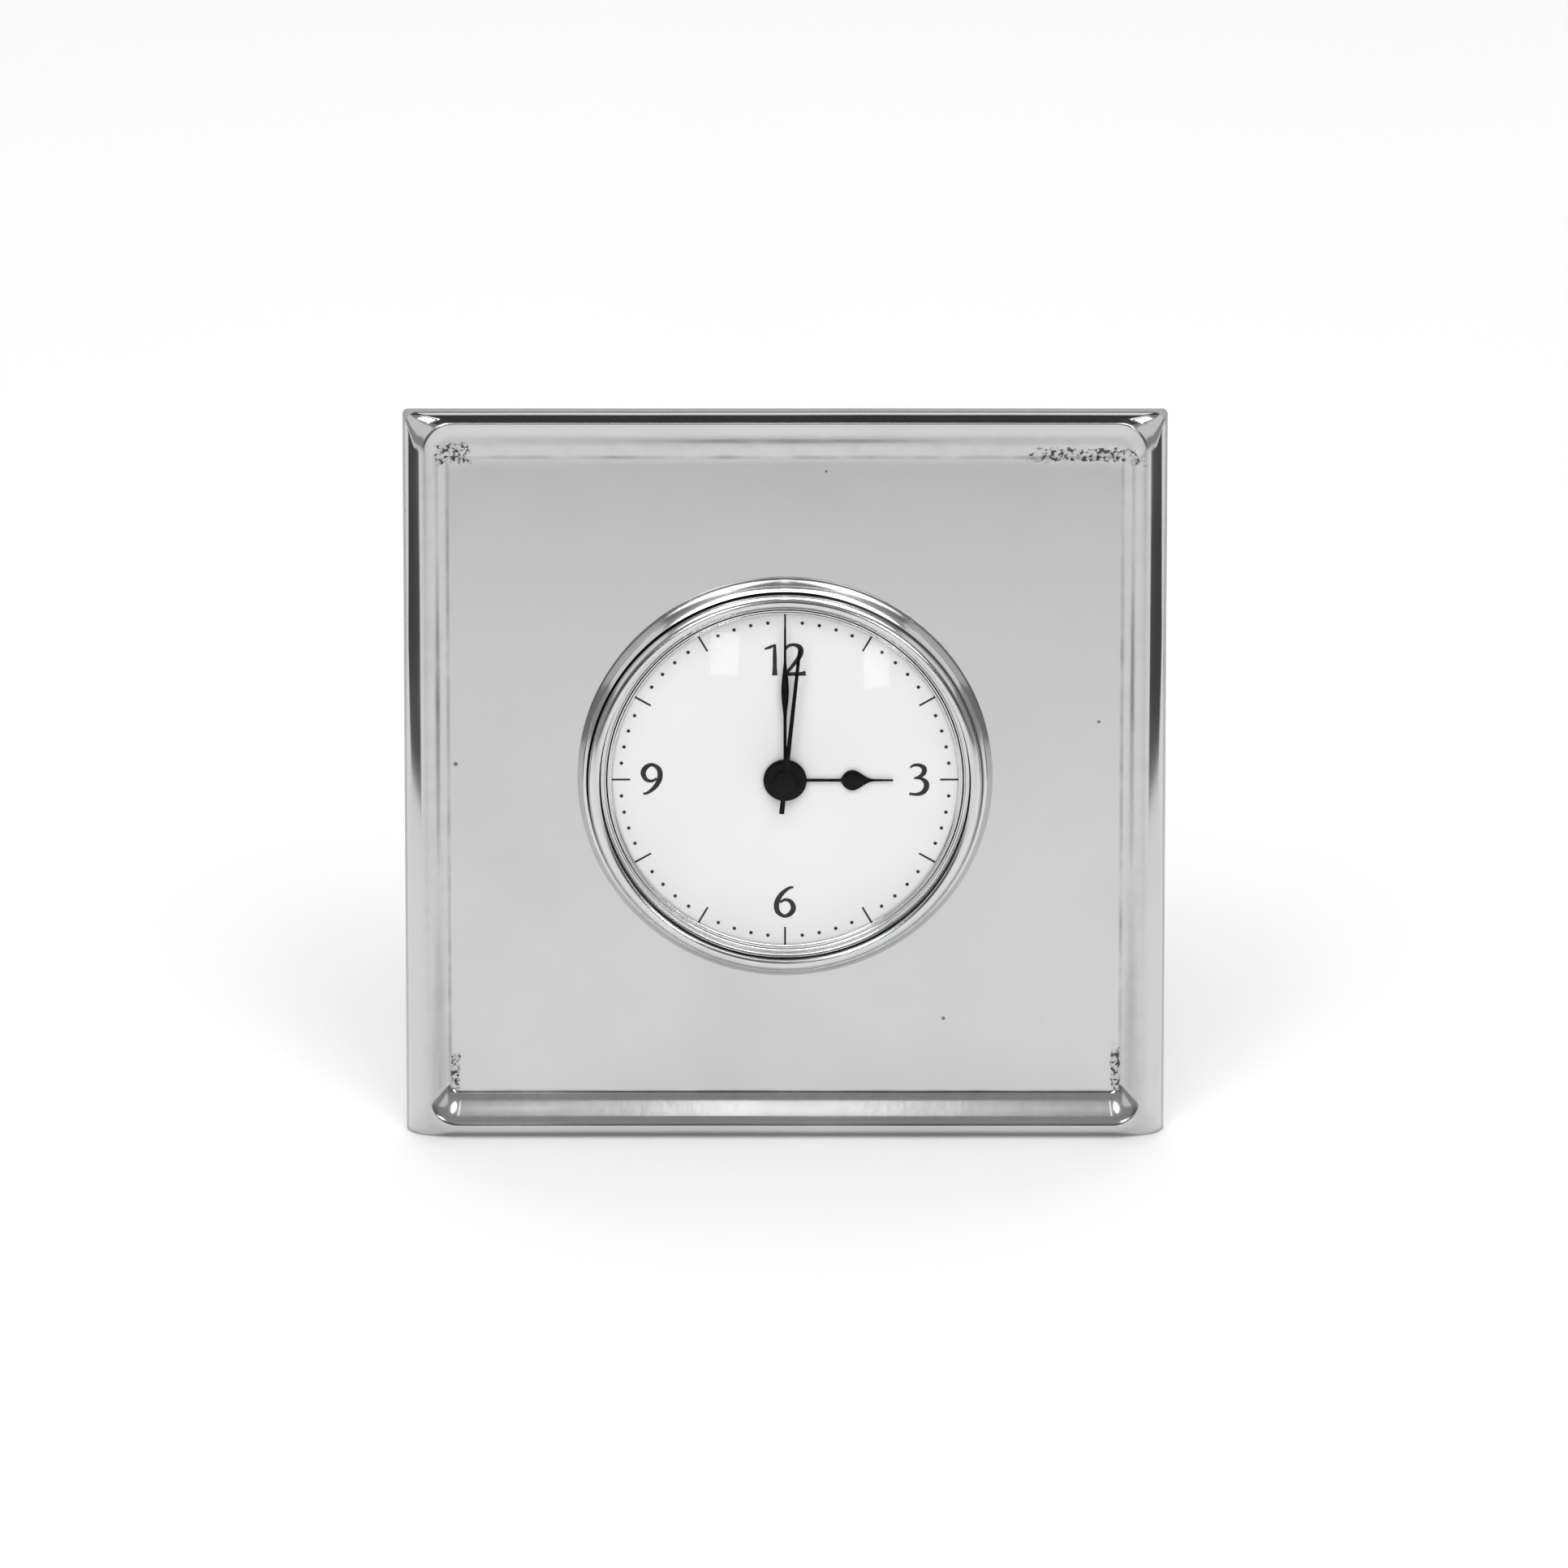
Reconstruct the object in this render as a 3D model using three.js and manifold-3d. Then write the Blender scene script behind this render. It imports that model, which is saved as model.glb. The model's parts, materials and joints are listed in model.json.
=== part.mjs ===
// Square cast-aluminium table clock with a round quartz insert pressed into its face.
//
// Everything on the leaning face is drawn in the face's own frame: x to the right, y up along
// the face, z out of the face towards the viewer, with z = 0 on the flat polished field.
// The face then leans back on its lower edge and a screwed-on rear leg.
// All lengths are in millimetres, all angles named DEG are in degrees.

import * as THREE from 'three';
import { mergeVertices } from 'three/addons/utils/BufferGeometryUtils.js';
import Module from 'manifold-3d';

// Facets round a large and a small circle
const LARGE_ROUND = 48;
const MIDDLE_ROUND = 24;
const SMALL_ROUND = 12;

// Casting
const FACE_SIZE = 127;
const FACE_LEAN_DEG = 10;
const RIM_WIDTH = 8;
const FIELD_THICKNESS = 5;
const RIM_LIP_WIDTH = 1.8;
const RIM_FOOT_SLOPE_DEG = 52;
const RIM_TOP_SLOPE_DEG = 10;
const RIM_STEPS = 6;
const RIM_EDGE_ROUND = 0.9;
const RIM_EDGE_DEPTH = 3.6;
const RIM_BACK_RUN = 6.5;
const FIELD_CORNER_RADIUS = 1.2;
const RIM_CORNER_RADIUS = 4;
const FACE_CORNER_RADIUS = 1.5;
const CORNER_STEPS = 5;

// Clearances
const SEAT_GAP = 0.3;
const PIVOT_GAP = 0.3;
const SCREW_GAP = 0.3;

// Rear leg and its two screws
const LEG_PAD_WIDTH = 44;
const LEG_PAD_HEIGHT = 18;
const LEG_PAD_THICKNESS = 4.2;
const LEG_PAD_BELOW_BORE = 2.8;
const LEG_SCREW_EDGE = 6;
const LEG_SCREW_ROOM = 6;
const LEG_ARM_THICKNESS = 6;
const LEG_REACH = 46;
const LEG_TOE_LENGTH = 10;
const LEG_TOE_HEIGHT = 4;
const LEG_SCREW_RADIUS = 1.6;
const LEG_SCREW_HEAD_RADIUS = 3;
const LEG_SCREW_HEAD_HEIGHT = 1.8;
const LEG_SCREW_BITE = 3;

// Insert bezel, lens, ring and dial
const BEZEL_BORE_STEP = 0.1;
const INNER_RING_WIDTH = 2.15;
const BEZEL_LIP_OVERHANG = 1.1;
const BEZEL_LIP_BEVEL = 0.9;
const BEZEL_RING_WIDTH = 1.5;
const BEZEL_SHOULDER_RUN = 0.35;
const BEZEL_WALL_RUN = 0.65;
const FLANGE_WIDTH = 1;
const FLANGE_THICKNESS = 0.7;
const BEZEL_FRONT = 4.6;
const BEZEL_SHOULDER_DROP = 0.45;
const BEZEL_LIP_DROP = 0.4;
const BEZEL_LIP_THICKNESS = 0.3;
const LENS_THICKNESS = 1.1;
const LENS_RISE = 3.2;
const LENS_STEPS = 4;
const DIAL_TOP = 1.6;
const DIAL_THICKNESS = 0.5;
const DIAL_HOLE_RADIUS = 3;
const RING_SLOPE_RUN = 0.7;

// Hands
const HAND_THICKNESS = 0.25;
const HOUR_HAND_LENGTH = 18;
const HOUR_HAND_HUB_RADIUS = 3.6;
const HOUR_HAND_WIDTH = 0.5;
const HOUR_PEAR_CENTRE = 11.1;
const HOUR_PEAR_RADIUS = 1.75;
const HOUR_NEEDLE_WIDTH = 0.34;
const MINUTE_HAND_LENGTH = 26.8;
const MINUTE_HAND_HUB_RADIUS = 3.2;
const MINUTE_HAND_WIDTH = 0.55;
const MINUTE_LEAF_START = 11.4;
const MINUTE_LEAF_MIDDLE = 15.6;
const MINUTE_LEAF_END = 20.6;
const MINUTE_LEAF_WIDTH = 1.3;
const MINUTE_NEEDLE_WIDTH = 0.4;
const SECOND_HAND_LENGTH = 23.7;
const SECOND_HAND_TAIL = 5.6;
const SECOND_HAND_TIP_WIDTH = 0.56;
const SECOND_HAND_TAIL_WIDTH = 0.86;
const SECOND_CAP_RADIUS = 1.8;
const SECOND_CAP_HEIGHT = 0.95;
const HOUR_HAND_LIFT = 0.3;
const HAND_SPACING = 0.65;
const HOUR_HAND_DEG = 90;
const MINUTE_HAND_DEG = 0;
const SECOND_HAND_DEG = 6;

// Insert can, grip ring, battery and its door
const GRIP_RING_THICKNESS = 1;
const CAN_WALL = 1.4;
const CAN_BACK_THICKNESS = 1.6;
const CAN_DEPTH = 16.5;
const CAN_SHOULDER_THICKNESS = 0.5;
const GRIP_RING_LENGTH = 3.9;
const BATTERY_RADIUS = 6;
const BATTERY_LENGTH = 30.2;
const BATTERY_NUB_RADIUS = 2.2;
const BATTERY_NUB_LENGTH = 1;
const BATTERY_Y = -16.8;
const CELL_ROOM = 0.55;
const DOOR_MARGIN = 0.4;
const DOOR_GRIP_HEIGHT = 0.8;
const DOOR_GRIP_COUNT = 3;
const CONTACT_THICKNESS = 0.4;
const CONTACT_WIDTH = 8;
const CONTACT_SPRING_TRAVEL = 1.4;

// Movement plates, pillars and screws
const PLATE_THICKNESS = 1.4;
const FRONT_PLATE_TOP = 0.5;
const BACK_PLATE_THICKNESS = 1.2;
const PLATE_SPACING = 11.1;
const BACK_PLATE_LOWER_EDGE = -9.3;
const PILLAR_RADIUS = 2;
const PILLAR_INSET = 2.5;
const PILLAR_DIRECTIONS_DEG = [29, 187, -14];
const PLATE_SCREW_RADIUS = 1;
const PLATE_SCREW_HEAD_RADIUS = 1.8;
const PLATE_SCREW_HEAD_HEIGHT = 0.9;
const PLATE_SCREW_BITE = 3;

// Gear train: tooth counts and modules
const GEAR_THICKNESS = 0.8;
const PINION_OVERHANG = 0.2;
const ROTOR_PINION_TEETH = 12;
const INTERMEDIATE_TEETH = 60;
const INTERMEDIATE_PINION_TEETH = 10;
const SECONDS_TEETH = 60;
const SECONDS_PINION_TEETH = 8;
const THIRD_TEETH = 60;
const THIRD_PINION_TEETH = 8;
const CENTRE_TEETH = 64;
const CANNON_TEETH = 10;
const MINUTE_TEETH = 30;
const MINUTE_PINION_TEETH = 8;
const HOUR_TEETH = 32;
const SETTING_TEETH = 12;
const ROTOR_MODULE = 0.3;
const INTERMEDIATE_MODULE = 0.33;
const CENTRE_MODULE = 0.32;
const MOTION_MODULE = 0.45;
const TOOTH_ADDENDUM = 0.8;
const TOOTH_DEDENDUM = 1.2;
const TOOTH_TIP_SHARE = 0.1;
const THIRD_DIRECTION_DEG = 15;
const INTERMEDIATE_DIRECTION_DEG = 165;
const ROTOR_DIRECTION_DEG = 140;
const MOTION_DIRECTION_DEG = 90;

// Gear levels: the front face of each wheel, measured behind the field
const HOUR_WHEEL_LEVEL = -1.2;
const MINUTE_WHEEL_LEVEL = -2.7;
const CENTRE_WHEEL_LEVEL = -4.2;
const THIRD_WHEEL_LEVEL = -6.4;
const SECONDS_WHEEL_LEVEL = -8;
const INTERMEDIATE_WHEEL_LEVEL = -9.8;

// Arbors and pipes
const ARBOR_RADIUS = 0.6;
const SECOND_ARBOR_RADIUS = 0.5;
const MINUTE_PIPE_RADIUS = 1.5;
const HOUR_PIPE_RADIUS = 2.5;
const PIPE_GAP = 0.3;
const MINUTE_POST_RADIUS = 0.7;

// Motor
const MAGNET_RADIUS = 2.6;
const MAGNET_LENGTH = 2.4;
const MAGNET_FRONT = -6.9;
const STATOR_THICKNESS = 1;
const STATOR_FRONT = -7.6;
const STATOR_EYE_RADIUS = 4.6;
const STATOR_EYE_GAP = 0.6;
const STATOR_ARM_WIDTH = 3.4;
const COIL_LEFT = -16.5;
const COIL_RIGHT = -6.5;
const COIL_Y = 17;
const COIL_RADIUS = 3;
const COIL_WAIST_RADIUS = 2.6;
const COIL_FLANGE = 0.8;
const CORE_WIDTH = 2;
const CORE_THICKNESS = 1;
const CORE_OVERHANG = 3.7;
const STATOR_LOWER_ARM_Y = 12;

// Setting knob
const SETTING_SHAFT_RADIUS = 1.2;
const SETTING_SHAFT_END = 2.5;
const KNOB_RADIUS = 5.5;
const KNOB_HEIGHT = 3.7;
const KNOB_FLUTES = 14;
const KNOB_FLUTE_DEPTH = 0.35;

// Circuit board
const BOARD_X = 11;
const BOARD_Y = 15.5;
const BOARD_WIDTH = 14;
const BOARD_HEIGHT = 7;
const BOARD_THICKNESS = 0.8;
const CRYSTAL_RADIUS = 1;
const CRYSTAL_LENGTH = 6;
const CHIP_SIZE = 4;
const CHIP_HEIGHT = 1;

const wasm = await Module();
wasm.setup();

const radians = THREE.MathUtils.degToRad;

// Solids

function toSolid(geometry) {
  const bare = geometry.clone();
  bare.deleteAttribute('normal');
  bare.deleteAttribute('uv');
  const merged = mergeVertices(bare, 1e-4);
  return new wasm.Manifold(new wasm.Mesh({
    numProp: 3,
    vertProperties: new Float32Array(merged.attributes.position.array),
    triVerts: new Uint32Array(merged.index.array),
  }));
}

function toGeometry(solid) {
  const mesh = solid.getMesh();
  const geometry = new THREE.BufferGeometry();
  geometry.setAttribute('position', new THREE.BufferAttribute(mesh.vertProperties, 3));
  geometry.setIndex(new THREE.BufferAttribute(mesh.triVerts, 1));
  geometry.computeVertexNormals();
  return geometry;
}

function joined(...geometries) {
  return toGeometry(geometries.map(toSolid).reduce((whole, next) => whole.add(next)));
}

function cut(geometry, ...tools) {
  return toGeometry(tools.map(toSolid).reduce((rest, tool) => rest.subtract(tool), toSolid(geometry)));
}

// A solid of revolution about z from [radius, z] corners, listed with the material on their left.
function turned(corners, segments) {
  const points = corners.map(([radius, z]) => new THREE.Vector2(radius, z));
  if (corners[0][0] > 0) points.push(points[0].clone());
  return new THREE.LatheGeometry(points, segments).rotateX(Math.PI / 2);
}

function rod(radius, from, to, segments = SMALL_ROUND) {
  return turned([[0, from], [radius, from], [radius, to], [0, to]], segments);
}

function tube(inner, outer, from, to, segments = MIDDLE_ROUND) {
  return turned([[inner, from], [outer, from], [outer, to], [inner, to]], segments);
}

function slab(shape, from, to, curveSegments = 12) {
  const options = { depth: to - from, bevelEnabled: false, curveSegments };
  return new THREE.ExtrudeGeometry(shape, options).translate(0, 0, from);
}

function block(x0, x1, y0, y1, z0, z1) {
  const box = new THREE.BoxGeometry(x1 - x0, y1 - y0, z1 - z0);
  return box.translate((x0 + x1) / 2, (y0 + y1) / 2, (z0 + z1) / 2);
}

// Outlines

function squareOutline(half, radius, z) {
  const points = [];
  for (let corner = 0; corner < 4; corner += 1) {
    const start = corner * Math.PI / 2;
    const middle = start + Math.PI / 4;
    const centreX = Math.sign(Math.cos(middle)) * (half - radius);
    const centreY = Math.sign(Math.sin(middle)) * (half - radius);
    for (let step = 0; step <= CORNER_STEPS; step += 1) {
      const angle = start + step / CORNER_STEPS * Math.PI / 2;
      points.push([centreX + radius * Math.cos(angle), centreY + radius * Math.sin(angle), z]);
    }
  }
  return points;
}

// A closed skin through a stack of outlines of equal point count, from the front cap to the back.
function lofted(rings) {
  const count = rings[0].length;
  const capShape = (ring) => ring.map(([x, y]) => new THREE.Vector2(x, y));
  const index = [];
  rings.slice(1).forEach((ring, level) => {
    for (let i = 0; i < count; i += 1) {
      const a = level * count + i;
      const b = level * count + (i + 1) % count;
      index.push(a, a + count, b, b, a + count, b + count);
    }
  });
  const last = (rings.length - 1) * count;
  for (const [a, b, c] of THREE.ShapeUtils.triangulateShape(capShape(rings[0]), [])) {
    index.push(a, b, c);
  }
  for (const [a, b, c] of THREE.ShapeUtils.triangulateShape(capShape(rings.at(-1)), [])) {
    index.push(last + a, last + c, last + b);
  }
  const geometry = new THREE.BufferGeometry();
  geometry.setAttribute('position', new THREE.Float32BufferAttribute(rings.flat(2), 3));
  geometry.setIndex(index);
  geometry.computeVertexNormals();
  return geometry;
}

// A flat hand along +x from half-widths at distances from the pivot, joined to its round hub.
function handOutline(edge) {
  const lower = edge.map(([x, half]) => new THREE.Vector2(x, -half));
  const upper = edge.map(([x, half]) => new THREE.Vector2(x, half));
  return new THREE.Shape([...lower, ...upper.reverse()]);
}

// Gears

const pitchRadius = (teeth, module) => teeth * module / 2;
const tipRadius = (teeth, module) => pitchRadius(teeth, module) + TOOTH_ADDENDUM * module;
const meshDistance = (teeth, otherTeeth, module) => (teeth + otherTeeth) * module / 2;

function gear(teeth, module, phase, from, to) {
  const pitch = 2 * Math.PI / teeth;
  const root = pitchRadius(teeth, module) - TOOTH_DEDENDUM * module;
  const tip = tipRadius(teeth, module);
  const points = [];
  for (let tooth = 0; tooth < teeth; tooth += 1) {
    const middle = phase + tooth * pitch;
    for (const [radius, share] of [[root, -1], [tip, -TOOTH_TIP_SHARE], [tip, TOOTH_TIP_SHARE]]) {
      const angle = middle + share * pitch / 2;
      points.push(new THREE.Vector2(radius * Math.cos(angle), radius * Math.sin(angle)));
    }
  }
  return slab(new THREE.Shape(points), from, to);
}

// The phase that puts a gear's gap where its neighbour, lying in a direction from it, has a tooth.
function meshedPhase(teeth, phase, direction, otherTeeth) {
  const ahead = (direction - phase) * teeth / (2 * Math.PI);
  return direction + Math.PI - (0.5 - ahead) * 2 * Math.PI / otherTeeth;
}

function polar(distance, degrees, [x, y] = [0, 0]) {
  const angle = radians(degrees);
  return [x + distance * Math.cos(angle), y + distance * Math.sin(angle)];
}

// Assembly

const face = new THREE.Group();
const clock = new THREE.Group();
const faceLean = radians(FACE_LEAN_DEG);

function finish(color, roughness, metalness, extra = {}) {
  return new THREE.MeshStandardMaterial({ color, roughness, metalness, ...extra });
}

const polishedAluminium = finish(0xcfcfd0, 0.16, 1);
const chrome = finish(0xdcdde0, 0.06, 1);
const clearAcrylic = finish(0xffffff, 0.05, 0, { transparent: true, opacity: 0.2 });
const whitePaper = finish(0xf0f0f1, 0.7, 0);
const blackPaint = finish(0x111214, 0.4, 0);
const blackPlastic = finish(0x18191b, 0.5, 0);
const greyRubber = finish(0x3a3b3d, 0.85, 0);
const whitePlastic = finish(0xe6e4dc, 0.5, 0);
const steel = finish(0xb4b6b9, 0.3, 1);
const brass = finish(0xc9a452, 0.3, 1);
const copper = finish(0xb56a3c, 0.4, 1);
const magnetGrey = finish(0x4a4b50, 0.5, 0.6);
const boardGreen = finish(0x1f5c38, 0.6, 0);
const cellWrap = finish(0x8d9093, 0.4, 0.4);

function add(name, geometry, material, x = 0, y = 0) {
  const mesh = new THREE.Mesh(geometry, material);
  mesh.name = name;
  mesh.position.set(x, y, 0);
  face.add(mesh);
}

// The rim: a convex slope from the crease at the field to the lip, as an arc between two slopes
const faceHalf = FACE_SIZE / 2;
const fieldHalf = faceHalf - RIM_WIDTH;
const slopeRun = RIM_WIDTH - RIM_LIP_WIDTH;
const slopeStart = radians(RIM_FOOT_SLOPE_DEG);
const slopeEnd = radians(RIM_TOP_SLOPE_DEG);
const slopeArc = slopeRun / (Math.sin(slopeStart) - Math.sin(slopeEnd));
const rimHeight = slopeArc * (Math.cos(slopeEnd) - Math.cos(slopeStart));
const rimEdgeFront = rimHeight - RIM_EDGE_ROUND;
const rimEdgeBack = rimEdgeFront - RIM_EDGE_DEPTH;

// The insert's radii: the cell sets the movement's size, the movement the can's, the can the bezel's
const batteryHalf = BATTERY_LENGTH / 2;
const plateRadius = Math.hypot(batteryHalf, BATTERY_RADIUS - BATTERY_Y) + CELL_ROOM;
const canInner = plateRadius + SEAT_GAP;
const canRadius = canInner + CAN_WALL;
const boreRadius = canRadius + GRIP_RING_THICKNESS + 2 * SEAT_GAP;
const bezelInner = boreRadius + BEZEL_BORE_STEP;
const dialRadius = bezelInner - SEAT_GAP;
const dialVisibleRadius = dialRadius - INNER_RING_WIDTH;
const bezelLip = bezelInner - BEZEL_LIP_OVERHANG;
const bezelRingInner = bezelLip + BEZEL_LIP_BEVEL;
const bezelRingOuter = bezelRingInner + BEZEL_RING_WIDTH;
const bezelShoulder = bezelRingOuter + BEZEL_SHOULDER_RUN;
const bezelFoot = bezelShoulder + BEZEL_WALL_RUN;
const flangeRadius = bezelFoot + FLANGE_WIDTH;

// The face stands on its lower edge, ground flat where it meets the table
face.rotation.x = Math.PI / 2 - faceLean;
face.position.z = faceHalf * Math.cos(faceLean) - rimEdgeFront * Math.sin(faceLean);
face.updateMatrix();

function tableUnder(z) {
  return -(face.position.z + z * Math.sin(faceLean)) / Math.cos(faceLean);
}

const legScrewX = LEG_PAD_WIDTH / 2 - LEG_SCREW_EDGE;
const legArmWidth = 2 * (legScrewX - LEG_SCREW_ROOM);
const legScrewPlaces = [['left', -legScrewX], ['right', legScrewX]];
const legPadTop = -boreRadius - LEG_PAD_BELOW_BORE;
const legScrewY = legPadTop - LEG_PAD_HEIGHT / 2;
const castingBack = -FIELD_THICKNESS;
const legFront = castingBack - SEAT_GAP;
const legScrewHole = LEG_SCREW_RADIUS + SCREW_GAP;

function castingGeometry() {
  const rings = [];
  for (let step = 0; step <= RIM_STEPS; step += 1) {
    const share = step / RIM_STEPS;
    const slope = slopeStart + (slopeEnd - slopeStart) * share;
    const out = fieldHalf + slopeArc * (Math.sin(slopeStart) - Math.sin(slope));
    const up = slopeArc * (Math.cos(slope) - Math.cos(slopeStart));
    const corner = FIELD_CORNER_RADIUS + (RIM_CORNER_RADIUS - FIELD_CORNER_RADIUS) * share;
    rings.push(squareOutline(out, corner, up));
  }
  const roundStart = faceHalf - RIM_EDGE_ROUND;
  for (const degrees of [0, 30, 60, 90]) {
    const out = roundStart + RIM_EDGE_ROUND * Math.sin(radians(degrees));
    const up = rimEdgeFront + RIM_EDGE_ROUND * Math.cos(radians(degrees));
    rings.push(squareOutline(out, FACE_CORNER_RADIUS, up));
  }
  rings.push(squareOutline(faceHalf, FACE_CORNER_RADIUS, rimEdgeBack));
  rings.push(squareOutline(faceHalf - RIM_BACK_RUN, FACE_CORNER_RADIUS, castingBack));
  const belowTable = new THREE.BoxGeometry(2 * FACE_SIZE, 2 * FACE_SIZE, FACE_SIZE);
  belowTable.translate(0, 0, -FACE_SIZE / 2).applyMatrix4(face.matrix.clone().invert());
  const throughBore = rod(boreRadius, castingBack - 1, rimHeight, LARGE_ROUND);
  const holeEnd = castingBack + LEG_SCREW_BITE + SCREW_GAP;
  const screwHoles = legScrewPlaces.map(
    ([, x]) => rod(legScrewHole, castingBack - 1, holeEnd).translate(x, legScrewY, 0),
  );
  return cut(lofted(rings), throughBore, belowTable, ...screwHoles);
}

function legGeometry() {
  const padBack = legFront - LEG_PAD_THICKNESS;
  const padHalf = LEG_PAD_WIDTH / 2;
  const pad = block(-padHalf, padHalf, legPadTop - LEG_PAD_HEIGHT, legPadTop, padBack, legFront);
  const tableAt = (back) => tableUnder(legFront - back);
  const toeStart = LEG_REACH - LEG_TOE_LENGTH;
  const armTop = legPadTop - SCREW_GAP;
  const armBottom = legPadTop - LEG_PAD_HEIGHT + SCREW_GAP;
  const arm = new THREE.Shape();
  arm.moveTo(SCREW_GAP, armBottom);
  arm.lineTo(LEG_PAD_THICKNESS, armBottom);
  arm.quadraticCurveTo(toeStart / 2, armBottom, toeStart + 1, tableAt(toeStart) + LEG_TOE_HEIGHT / 4);
  arm.lineTo(toeStart + 1, tableAt(toeStart) + LEG_TOE_HEIGHT - SCREW_GAP);
  arm.quadraticCurveTo(toeStart / 2, armBottom + LEG_ARM_THICKNESS, LEG_PAD_THICKNESS, armTop);
  arm.lineTo(SCREW_GAP, armTop);
  const toe = new THREE.Shape();
  toe.moveTo(toeStart, tableAt(toeStart));
  toe.lineTo(LEG_REACH, tableAt(LEG_REACH));
  const toeTop = tableAt(LEG_REACH) + LEG_TOE_HEIGHT;
  const toeRound = LEG_TOE_HEIGHT / 2;
  toe.lineTo(LEG_REACH, toeTop - toeRound);
  toe.quadraticCurveTo(LEG_REACH, toeTop, LEG_REACH - toeRound, toeTop);
  toe.lineTo(toeStart, tableAt(toeStart) + LEG_TOE_HEIGHT);
  const across = (shape, width) => (
    slab(shape, -width / 2, width / 2).rotateY(Math.PI / 2).translate(0, 0, legFront)
  );
  const screwHoles = legScrewPlaces.map(
    ([, x]) => rod(legScrewHole, padBack - 1, legFront + 1).translate(x, legScrewY, 0),
  );
  return cut(joined(pad, across(arm, legArmWidth), across(toe, LEG_PAD_WIDTH)), ...screwHoles);
}

function screwGeometry(radius, headRadius, headHeight, headSeat, tip) {
  const headBack = headSeat - headHeight;
  const dome = headHeight / 3;
  return turned([
    [0, headBack], [headRadius - dome, headBack], [headRadius, headBack + dome], [headRadius, headSeat],
    [radius, headSeat], [radius, tip], [0, tip],
  ], SMALL_ROUND);
}

add('front_casting', castingGeometry(), polishedAluminium);
add('rear_leg', legGeometry(), polishedAluminium);
const legScrewSeat = legFront - LEG_PAD_THICKNESS - SCREW_GAP;
const legScrewTip = castingBack + LEG_SCREW_BITE;
for (const [side, x] of legScrewPlaces) {
  const screw = screwGeometry(
    LEG_SCREW_RADIUS, LEG_SCREW_HEAD_RADIUS, LEG_SCREW_HEAD_HEIGHT, legScrewSeat, legScrewTip,
  );
  add(`leg_screw_${side}`, screw, steel, x, legScrewY);
}

// Insert front: bezel, lens, inner ring and dial
const flangeBack = SEAT_GAP;
const flangeFront = flangeBack + FLANGE_THICKNESS;
const shoulder = BEZEL_FRONT - BEZEL_SHOULDER_DROP;
const lipFront = BEZEL_FRONT - BEZEL_LIP_DROP;
const lipBack = lipFront - BEZEL_LIP_THICKNESS;
const bezel = turned([
  [bezelInner, flangeBack], [flangeRadius - FLANGE_THICKNESS / 2, flangeBack],
  [flangeRadius, flangeBack + FLANGE_THICKNESS / 2], [flangeRadius - FLANGE_THICKNESS / 2, flangeFront],
  [bezelFoot, flangeFront], [bezelShoulder, shoulder], [bezelRingOuter, BEZEL_FRONT],
  [bezelRingInner, BEZEL_FRONT], [bezelLip, lipFront], [bezelLip, lipBack],
  [bezelInner, lipBack],
], LARGE_ROUND);
add('bezel', bezel, chrome);

const lensRadius = dialRadius;
const lensEdgeFront = lipBack - SEAT_GAP;
const lensEdgeBack = lensEdgeFront - LENS_THICKNESS;
const lensCurve = (edge) => {
  const corners = [];
  for (let step = 0; step <= LENS_STEPS; step += 1) {
    const share = step / LENS_STEPS;
    corners.push([lensRadius * share, edge + LENS_RISE * (1 - share * share)]);
  }
  return corners;
};
const lensProfile = [...lensCurve(lensEdgeBack), ...lensCurve(lensEdgeFront).reverse()];
add('lens', turned(lensProfile, LARGE_ROUND), clearAcrylic);

const dialBack = DIAL_TOP - DIAL_THICKNESS;
const ringBack = DIAL_TOP + SEAT_GAP;
const ringFront = lensEdgeBack - SEAT_GAP;
add('inner_ring', turned([
  [dialVisibleRadius, ringBack], [dialRadius, ringBack], [dialRadius, ringFront],
  [dialVisibleRadius + RING_SLOPE_RUN, ringFront],
], LARGE_ROUND), chrome);
add('dial', tube(DIAL_HOLE_RADIUS, dialRadius, dialBack, DIAL_TOP, LARGE_ROUND), whitePaper);

// Hands, drawn along +x and then turned clockwise from twelve
const hourHandBack = DIAL_TOP + HOUR_HAND_LIFT;
const minuteHandBack = hourHandBack + HAND_SPACING;
const secondHandBack = minuteHandBack + HAND_SPACING;
const atClock = (geometry, degrees) => geometry.rotateZ(radians(90 - degrees));

function pearEdge() {
  const stem = HOUR_HAND_WIDTH / 2;
  const needle = HOUR_NEEDLE_WIDTH / 2;
  const edge = [[HOUR_HAND_HUB_RADIUS - stem, stem]];
  const stemAngle = Math.asin(stem / HOUR_PEAR_RADIUS);
  const tangent = radians(55);
  for (let step = 0; step <= 8; step += 1) {
    const angle = Math.PI - stemAngle - step / 8 * (Math.PI - stemAngle - tangent);
    edge.push([HOUR_PEAR_CENTRE + HOUR_PEAR_RADIUS * Math.cos(angle), HOUR_PEAR_RADIUS * Math.sin(angle)]);
  }
  edge.push([HOUR_PEAR_CENTRE + HOUR_PEAR_RADIUS * 1.5, HOUR_PEAR_RADIUS * 0.3]);
  edge.push([HOUR_PEAR_CENTRE + HOUR_PEAR_RADIUS * 2.2, needle]);
  edge.push([HOUR_HAND_LENGTH, needle]);
  return edge;
}

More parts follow.
